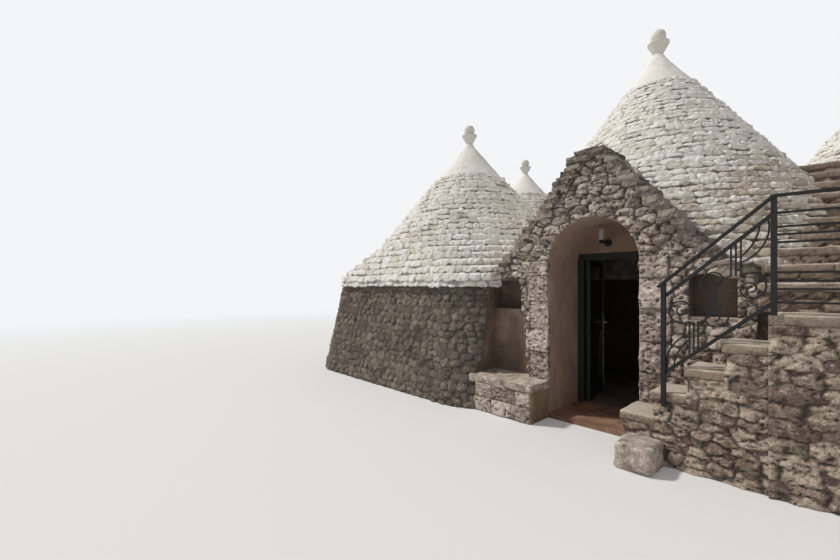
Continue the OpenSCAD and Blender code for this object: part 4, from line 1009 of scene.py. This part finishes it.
BED_DARK, BED_PALE = rgb(0.33, 0.31, 0.28), rgb(0.62, 0.60, 0.56)
dress(mottled("lime_bed", (0.12, 5, 0.65), BED_DARK, BED_PALE, 0.95, span=(0.35, 0.7), depth=0.012),
      "main_roof", "left_roof", "rear_roof", "right_roof", "porch_roof")


# The saddle roof between the gable and the main cone: the same washed slabs, in short courses
# that run back from the gable and step up its two slopes.
SADDLE_FRONT, SADDLE_RUN, SADDLE_COURSES = 0.372, 1.15, 18
SADDLE_LENGTHS = (0.09, 0.30)
SADDLE_INTO_CONE = 0.10
SADDLE_BARE = 0.12
rng = np.random.default_rng(61)
saddle = Courses()
saddle_feet = np.linspace(GABLE_LOW, GABLE_TOP - SADDLE_DROP, SADDLE_COURSES + 1)
for side in (-1, 1):
    for low, high in zip(saddle_feet[:-1], saddle_feet[1:]):
        half = GABLE_HALF - (low + SADDLE_DROP - GABLE_LOW) * gable_lean
        along, outs, ups, tone, shade_share = lay_course(
            rng, SADDLE_RUN, round(SADDLE_RUN / FINE_COLUMN), SADDLE_LENGTHS, low, high,
            (high - low) * gable_lean, COURSE_OUT)
        depth = SADDLE_FRONT + (along if side > 0 else SADDLE_RUN - along)
        points = np.stack([side * (half + outs), depth + 0 * outs, ups], axis=2)
        x, y, z = points[3].T
        buried = main.pitch * (main.apex - z) - np.hypot(x - main.x, y - main.y)
        saddle.add(points, False, buried < SADDLE_INTO_CONE, tone, shade_share)
saddle.piece("saddle_slabs", lambda p: np.full(len(p), SADDLE_BARE))


# The caps: smooth lime plaster trowelled over the top courses, with an uneven lower edge,
# and the finials that stand on them.
CAP_WHITE, CAP_GREY = rgb(0.800, 0.775, 0.725), rgb(0.600, 0.570, 0.515)
cap_plaster = Finish("cap_plaster")
where = cap_plaster.place()
cloud = cap_plaster.noise(where, 0.35, 6, 0.62)
drip = cap_plaster.noise(cap_plaster.stretched(8.0, 8.0, 1.2), 1.0, 4, 0.6)
fine = cap_plaster.noise(where, 0.02, 4, 0.6)
shade = cap_plaster.blend(0.8 * cap_plaster.ramp(0.6 * cloud + 0.5 * drip, 0.50, 0.75), CAP_WHITE, CAP_GREY)
cap_plaster.bump(fine, 0.003)
cap_material = cap_plaster.finish(shade, 0.85)

CAP_RINGS, CAP_COLUMNS = 22, 96
CAP_LAP, CAP_WAVE, CAP_RAGGED = 0.035, 0.022, 0.030
CAP_COAT = 0.030
LIP_IN, LIP_DOWN = 0.05, 0.004
NECK_LOW, NECK_COAT = 0.22, 0.018
COLLAR_LOW, COLLAR_RADIUS = 0.11, 0.103
FINIAL_LOW, FINIAL_RADIUS = 0.05, 0.071
turn = np.linspace(0, 2 * math.pi, CAP_COLUMNS, endpoint=False)
ring = np.stack([np.cos(turn), np.sin(turn), np.zeros(CAP_COLUMNS)], axis=1)
levels = np.linspace(0, 1, CAP_RINGS)[:, None]
for house in (main, left, rear, right):
    foot = house.cap - CAP_LAP + CAP_WAVE * np.sin(3 * turn + house.x)
    foot = foot + CAP_RAGGED * layered_noise(ring * 0.6 + house.y, 0.12, 3, 71)
    profile_z = [house.cap - 0.1, house.apex - NECK_LOW, house.apex - COLLAR_LOW, house.apex - FINIAL_LOW]
    profile_r = [house.pitch * (house.apex - profile_z[0]) + CAP_COAT, house.pitch * NECK_LOW + NECK_COAT,
                 COLLAR_RADIUS, FINIAL_RADIUS]
    z = foot + (house.apex - FINIAL_LOW - 0.001 - foot) * levels
    radius = np.interp(z, profile_z, profile_r)
    points = radius[:, :, None] * ring + (house.x, house.y, 0)
    points[:, :, 2] = z
    bulge = 0.006 * layered_noise(points.reshape(-1, 3), 0.15, 3, 73).reshape(radius.shape)
    bulge *= np.minimum(1, (CAP_RINGS - 1 - np.arange(CAP_RINGS)) / 3)[:, None]
    points += bulge[:, :, None] * ring
    lip = (radius[0] - LIP_IN)[:, None] * ring + (house.x, house.y, 0)
    lip[:, 2] = z[0] - LIP_DOWN
    points = np.concatenate([lip[None], points])
    faces = course_faces(CAP_RINGS + 1, CAP_COLUMNS, True, np.full(CAP_COLUMNS, True))
    mesh_piece(f"{house.name}_cap_plaster", points.reshape(-1, 3), faces, cap_material, "cap_plaster")
    dress(cap_material, f"{house.name}_cap")

FINIAL_STONE = rgb(0.720, 0.690, 0.630)
finial = Finish("finial_stone")
cloud = finial.noise(finial.place(), 0.12, 5, 0.62)
shade = finial.blend(0.6 * finial.ramp(cloud, 0.45, 0.75), FINIAL_STONE, LIME_WARM)
dress(finial.finish(shade, 0.9), "finials")


# The bench beside the door: rubble under a worn limestone seat, its end plastered flush
# with the doorway.
STEP_PALE = rgb(0.560, 0.480, 0.395)
STEP_MID = rgb(0.320, 0.248, 0.190)
STEP_DARK = rgb(0.140, 0.105, 0.080)
stone = Finish("step_stone")
where = stone.place()
cloud = stone.noise(where, 0.30, 5, 0.62)
grain = stone.noise(where, 0.024, 6, 0.72)
stain = stone.noise(where, 0.9, 4, 0.6)
facing = stone.node("ShaderNodeNewGeometry", {}, {}, "Normal")
painted_top_light = stone.node("ShaderNodeSeparateXYZ", {}, {0: facing}, 2)
# Painted light from above: faces that turn up are painted paler and faces that turn down darker, on top of
# the stone's own mottling and stains.
shade = stone.blend(stone.ramp(cloud + 0.38 * painted_top_light, 0.50, 0.90), STEP_MID, STEP_PALE)
shade = stone.blend(0.85 * stone.ramp(grain + 0.4 * stain - 0.12 * painted_top_light, 0.62, 0.86), shade, STEP_DARK)
stone.bump(grain, 0.012)
step_material = stone.finish(shade, 0.9)


def slab_shape(low, high, rng, wear, cell, rough, size, most_cells):
    """Points and faces of a worn block, whose faces are rough at the given size."""
    low, high = np.array(low, float), np.array(high, float)
    counts = [max(4, min(most_cells, round(length / cell))) for length in high - low]
    shape, joined = worn_blocks(block_surface(*counts), [(high - low) / 2], wear, rng)
    return roughen(shape[0] + (low + high) / 2, rough, size, 13), joined


def lay_slab(name, points, faces, material, slot):
    """A slab as a piece, with the relief and the tone that its stone is coloured by."""
    # This relief is noise; the stone's finish paints a highlight on its high values and shade on its low
    # ones.
    relief = 0.5 + 0.35 * layered_noise(points, 0.05, 3, 19)
    return mesh_piece(name, points, faces, material, slot, relief=relief, tone=np.full(len(points), 0.5))


def worn_slab(name, low, high, rng, material=step_material, slot="dressed_stone", wear=0.018, cell=0.035,
              rough=0.004):
    """A slab or block between two corners, with worn edges and a slightly uneven face."""
    points, faces = slab_shape(low, high, rng, wear, cell, rough, 0.09, 60)
    return lay_slab(name, points, faces, material, slot)


SKIN = 0.007
BENCH_LEFT, BENCH_FRONT, SEAT_FRONT = -1.42, -0.406, -0.421
BENCH_RUN, BENCH_COURSES = 0.9, ((0.0, 0.19), (0.19, 0.36))
rng = np.random.default_rng(71)
worn_slab("bench_seat_slab", (BENCH_LEFT, SEAT_FRONT - SKIN, SEAT_UNDER - 0.004),
          (BENCH_END + SKIN, 0.01, BENCH_TOP + SKIN), rng, front_material, "front_stone",
          wear=0.022, cell=0.022, rough=0.014)
bench_spots = coursed(rng, BENCH_RUN, SEAT_UNDER, 0.12, 0.2)
bench_blocks = []
for low, high in BENCH_COURSES:
    along = BENCH_END - BENCH_LEFT
    while along > 0.0:
        long = rng.uniform(0.20, 0.40)
        bench_blocks.append((along - long, low, along, high))
        along -= long
rubble("bench_stones", rng, BENCH_RUN, SEAT_UNDER - 0.005, 0.0125, flat_place(BENCH_LEFT, BENCH_FRONT),
       least(lambda p: BENCH_END - 0.003 - p[:, 0], short_of(main, left)), bench_spots, front_material,
       "front_stone", joint=0.012, pits=0.011, back=0.01, blocks=np.array(bench_blocks))
OCHRE_DARK, OCHRE_MID = rgb(0.185, 0.122, 0.072), rgb(0.320, 0.225, 0.142)
dress(earth_plaster("ochre_plaster", OCHRE_DARK, OCHRE_MID, PLASTER_PALE), "bench")
dress(step_material, "bench_seat", "niche_sill")


# The threshold of worn fired clay, laid between the jambs, and the floor of the rooms behind
# it, paved with the limestone of the walls and dark from use.
CLAY_DARK, CLAY_RED = rgb(0.155, 0.082, 0.052), rgb(0.330, 0.190, 0.120)
clay = Finish("terracotta")
where = clay.place()
clay.bump(clay.noise(where, 0.015, 5, 0.65), 0.004)
cloud = clay.noise(where, 0.25, 5, 0.65)
dress(clay.finish(clay.blend(clay.ramp(cloud, 0.35, 0.7), CLAY_DARK, CLAY_RED), 0.7), "threshold")
PAVING_DARK, PAVING_MID = rgb(0.085, 0.066, 0.050), rgb(0.175, 0.138, 0.106)
dress(mottled("floor_stone", (0.30, 5, 0.65), PAVING_DARK, PAVING_MID, 0.7, span=(0.3, 0.75), depth=0.003),
      "stone_floor")


# The lower flight: a rough first block, and pale treads on brown rubble, built against the
# front wall.
FIRST_LOW, FIRST_HIGH = (0.555, -0.81, 0.0), (0.865, -0.445, 0.23)
FLIGHT_FRONT = -0.440
FLIGHT_RUN = 1.06
TREAD_NOSE, TREAD_BACK = 0.020, 0.272
TREAD_THICK = 0.070
FLAT_STONES = {"stand": 0.036, "joint": 0.010, "stretch": 2.1, "pits": 0.011, "back": 0.01}
BROWN_LOW = rgb(0.205, 0.150, 0.114)
BROWN_MID = rgb(0.375, 0.288, 0.224)
BROWN_PALE = rgb(0.620, 0.515, 0.415)
brown_stone = broken_stone("steps_rubble", BROWN_LOW, BROWN_MID, BROWN_PALE)
rng = np.random.default_rng(81)
first_block = worn_slab("first_block", FIRST_LOW, FIRST_HIGH, rng, front_material,
                        wear=0.035, cell=0.03, rough=0.012)
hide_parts("first_step")
for k in range(LOWER_COUNT):
    foot = DOOR_HALF + k * LOWER_GOING
    top = LOWER_FIRST + k * LOWER_RISE
    low = (foot - TREAD_NOSE - SKIN, FLIGHT_FRONT - SKIN, top - TREAD_THICK - SKIN)
    high = (foot + TREAD_BACK, 0.0, top + SKIN)
    worn_slab(f"tread_slab_{k + 1}", low, high, rng, wear=0.014, cell=0.03)
rubble("flight_stones", rng, FLIGHT_RUN, FLIGHT_RUN, 0.0125, flat_place(DOOR_HALF, FLIGHT_FRONT),
       lambda p: lower_top(p[:, 0]) - TREAD_THICK - 0.005 - p[:, 2],
       coursed(rng, FLIGHT_RUN, FLIGHT_RUN, 0.090, 0.23), brown_stone, "front_stone", **FLAT_STONES)
dress(brown_stone, "lower_steps", "landing", "upper_steps")
dress(step_material, "lower_treads", "landing_slab", "upper_treads")


# The landing and the upper flight: long low steps of brownish slabs up to a terrace between
# the cones, on rubble walls. The side and the back of the flight stand free.
LANDING_TOP, LANDING_UNDER, LANDING_START = 1.37, 1.300, 0.125
LANDING_FRONT = -0.470
TREAD_OUT = 0.028
UPPER_SLAB, SLAB_GAP = 0.75, 0.002
BURIED = 0.10
TERRACE_TOP = UPPER_FIRST + (UPPER_COUNT - 1) * UPPER_RISE


def turned_with_steps(points):
    """Points of the upper flight's own frame, turned to where the flight stands."""
    u, v, z = points.T
    c, s = math.cos(STEPS_TURN), math.sin(STEPS_TURN)
    return np.stack([FRONT_RIGHT + u * c - v * s, u * s + v * c, z], axis=1)


def steps_place(u0, v0, du, dv, nu, nv):
    """Places on an upright face of the flight: from a corner, in a direction, out of the face."""
    def place(along, up, out):
        u, v = u0 + du * along + nu * out, v0 + dv * along + nv * out
        return turned_with_steps(np.stack([u, v, up], axis=1))
    return place


def riser_place(along, up, out):
    """Places on the fronts of the upper steps, which lie a going further back at each rise."""
    step = np.floor((LANDING_TOP + up + 0.01 - UPPER_FIRST) / UPPER_RISE) + 1
    back = np.clip(step, 0, UPPER_COUNT - 1) * UPPER_GOING
    return turned_with_steps(np.stack([along, back - out, LANDING_TOP + up], axis=1))


def between_trulli(p):
    """How far points stand clear of the front and of the trulli into which the steps run."""
    return np.minimum.reduce([p[:, 0] - FRONT_RIGHT, main.clear(p, BURIED), right.clear(p, BURIED)])


rng = np.random.default_rng(87)
tread_points, tread_faces = [], []
for k in range(UPPER_COUNT):
    top = UPPER_FIRST + k * UPPER_RISE
    near = k * UPPER_GOING - TREAD_OUT - SKIN
    far = (k + 1) * UPPER_GOING if k < UPPER_COUNT - 1 else UPPER_DEPTH
    across = np.linspace(-UPPER_WIDTH, UPPER_WIDTH + TREAD_OUT + SKIN, 240)
    line = turned_with_steps(np.stack([across, 0 * across + near + 0.10, 0 * across + top], axis=1))
    across = across[between_trulli(line) > 0]
    # each step is laid of two or three long slabs
    cuts = np.linspace(across[0], across[-1], 2 + round((across[-1] - across[0]) / UPPER_SLAB))
    cuts[1:-1] += rng.uniform(-0.12, 0.12, len(cuts) - 2)
    for start, end in zip(cuts[:-1], cuts[1:]):
        low = (start + SLAB_GAP, near - rng.uniform(0, 0.010), top - UPPER_TREAD - SLAB_GAP - SKIN)
        high = (end - SLAB_GAP, far + 0.02, top + rng.uniform(0.4, 1.0) * SKIN)
        points, faces = slab_shape(low, high, rng, 0.010, 0.035, 0.009, 0.05, 40)
        tread_faces.append(faces + sum(len(part) for part in tread_points))
        tread_points.append(turned_with_steps(points))
mesh_piece("upper_tread_slabs", np.concatenate(tread_points), np.concatenate(tread_faces), step_material,
           "dressed_stone")
flight_end = DOOR_HALF + LOWER_COUNT * LOWER_GOING
landing_u, landing_v = (float(v[0]) for v in steps_frame(np.array([[flight_end, LANDING_FRONT, 0.0]])))
points, faces = slab_shape((LANDING_START, landing_v - TREAD_OUT - SKIN, LANDING_UNDER - SKIN),
                           (UPPER_WIDTH + TREAD_OUT + SKIN, -0.002, LANDING_TOP + SKIN),
                           rng, 0.020, 0.035, 0.004, 0.09, 60)
lay_slab("landing_stone", turned_with_steps(points), faces, step_material, "dressed_stone")
rubble("riser_stones", rng, UPPER_WIDTH, TERRACE_TOP - LANDING_TOP, 0.02, riser_place, between_trulli,
       coursed(rng, UPPER_WIDTH, 1.9, 0.08, 0.22), brown_stone, "front_stone",
       stand=0.024, joint=0.009, stretch=2.0, pits=0.006, back=0.02)

SIDE_TOP = 2.94
LANDING_STONES = LANDING_UNDER - SLAB_GAP


def under_side_treads(p):
    """How far points on the free side of the flight lie under its treads."""
    return under_upper_treads(steps_frame(p)[1]) - SLAB_GAP - p[:, 2]


def everywhere(p):
    return np.ones(len(p))


rng = np.random.default_rng(91)
rubble("steps_side_stones", rng, UPPER_DEPTH, SIDE_TOP, 0.024, steps_place(UPPER_WIDTH, 0, 0, 1, 1, 0),
       least(under_side_treads, outside_round(right, right.radius - 0.02)),
       coursed(rng, UPPER_DEPTH, SIDE_TOP, WALL_COURSE, WALL_STONE), rubble_material, "rubble_wall")
rubble("landing_front_stones", rng, UPPER_WIDTH - landing_u, LANDING_STONES, 0.0135,
       steps_place(landing_u, landing_v, 1, 0, 0, -1), everywhere,
       coursed(rng, 1.6, 1.3, 0.105, 0.27), brown_stone, "front_stone", **FLAT_STONES)
rubble("landing_side_stones", rng, -landing_v, LANDING_STONES, 0.02,
       steps_place(UPPER_WIDTH, landing_v, 0, 1, 1, 0), everywhere,
       coursed(rng, 0.6, 1.3, 0.16, 0.26), rubble_material, "rubble_wall")


# The railing and the lamp over the door: near-black iron, forged by hand. The first post is
# fixed to the flight's side, the others stand on the landing, and bars and scrolls join them.
IRON, RUST = rgb(0.010, 0.010, 0.011), rgb(0.030, 0.019, 0.014)
iron = Finish("wrought_iron", Metallic=0.3)
where = iron.place()
iron.bump(iron.noise(where, 0.02, 3, 0.6), 0.002)
rusted = iron.noise(where, 0.06, 5, 0.65)
shade = iron.blend(0.5 * iron.ramp(rusted, 0.58, 0.75), IRON, RUST)
iron_material = iron.finish(shade, iron.ramp(rusted, 0.2, 0.8) * 0.25 + 0.55)
dress(iron_material, "rail_posts", "handrail", "stair_panel", "landing_panel", "wall_lamp")


# The door: a dark green frame and leaf, window glass, and a lever handle on either side. The
# leaf's closing edge, at the end of its width, carries a pale strip: a painted highlight.
PAINT_DARK, PAINT_GREEN = rgb(0.004, 0.007, 0.006), rgb(0.008, 0.013, 0.011)
EDGE_HIGHLIGHT = rgb(0.70, 0.71, 0.68)
LEAF_END, EDGE_DEPTH, EDGE_FADE = 1.676, 0.031, 0.003


def green_paint(name, highlight_edge):
    """Dark green paint, brushed on upright; on the leaf, a pale strip at its closing edge, a painted
    highlight as of light caught on the stile.
    """
    paint = Finish(name)
    paint.bump(paint.noise(paint.stretched(40, 40, 2), 1.0, 3, 0.6), 0.0012)
    faded = paint.ramp(paint.noise(paint.place(), 0.3, 4, 0.6), 0.3, 0.8)
    shade = paint.blend(faded, PAINT_DARK, PAINT_GREEN)
    if highlight_edge:
        # Painted highlight: a pale strip at the leaf's closing edge, as of light caught on the stile.
        edge = paint.ramp(paint.along(1), LEAF_END - EDGE_DEPTH - EDGE_FADE, LEAF_END - EDGE_DEPTH)
        shade = paint.blend(edge, shade, EDGE_HIGHLIGHT)
    return paint.finish(shade, 0.75)


dress(green_paint("green_paint", False), "door_frame")
dress(green_paint("leaf_paint", True), "door_leaf")
# The door's glass is near black and mostly opaque: painted shade of the dark room behind it.
GLASS_DARK, GLASS_PALE = rgb(0.020, 0.026, 0.025), rgb(0.045, 0.055, 0.052)
dress(mottled("window_glass", (0.5, 2, 0.5), GLASS_DARK, GLASS_PALE, 0.05, Alpha=0.80), "door_glass")
MILKY_DARK, MILKY_PALE = rgb(0.30, 0.29, 0.27), rgb(0.48, 0.47, 0.44)
dress(mottled("lamp_glass", (0.05, 3, 0.5), MILKY_DARK, MILKY_PALE, 0.25, Alpha=0.8), "lamp_glass")
STEEL_DARK, STEEL_PALE = rgb(0.34, 0.33, 0.30), rgb(0.60, 0.58, 0.54)
dress(mottled("handle_metal", (0.03, 4, 0.6), STEEL_DARK, STEEL_PALE, 0.38, Metallic=0.85), "door_handle")
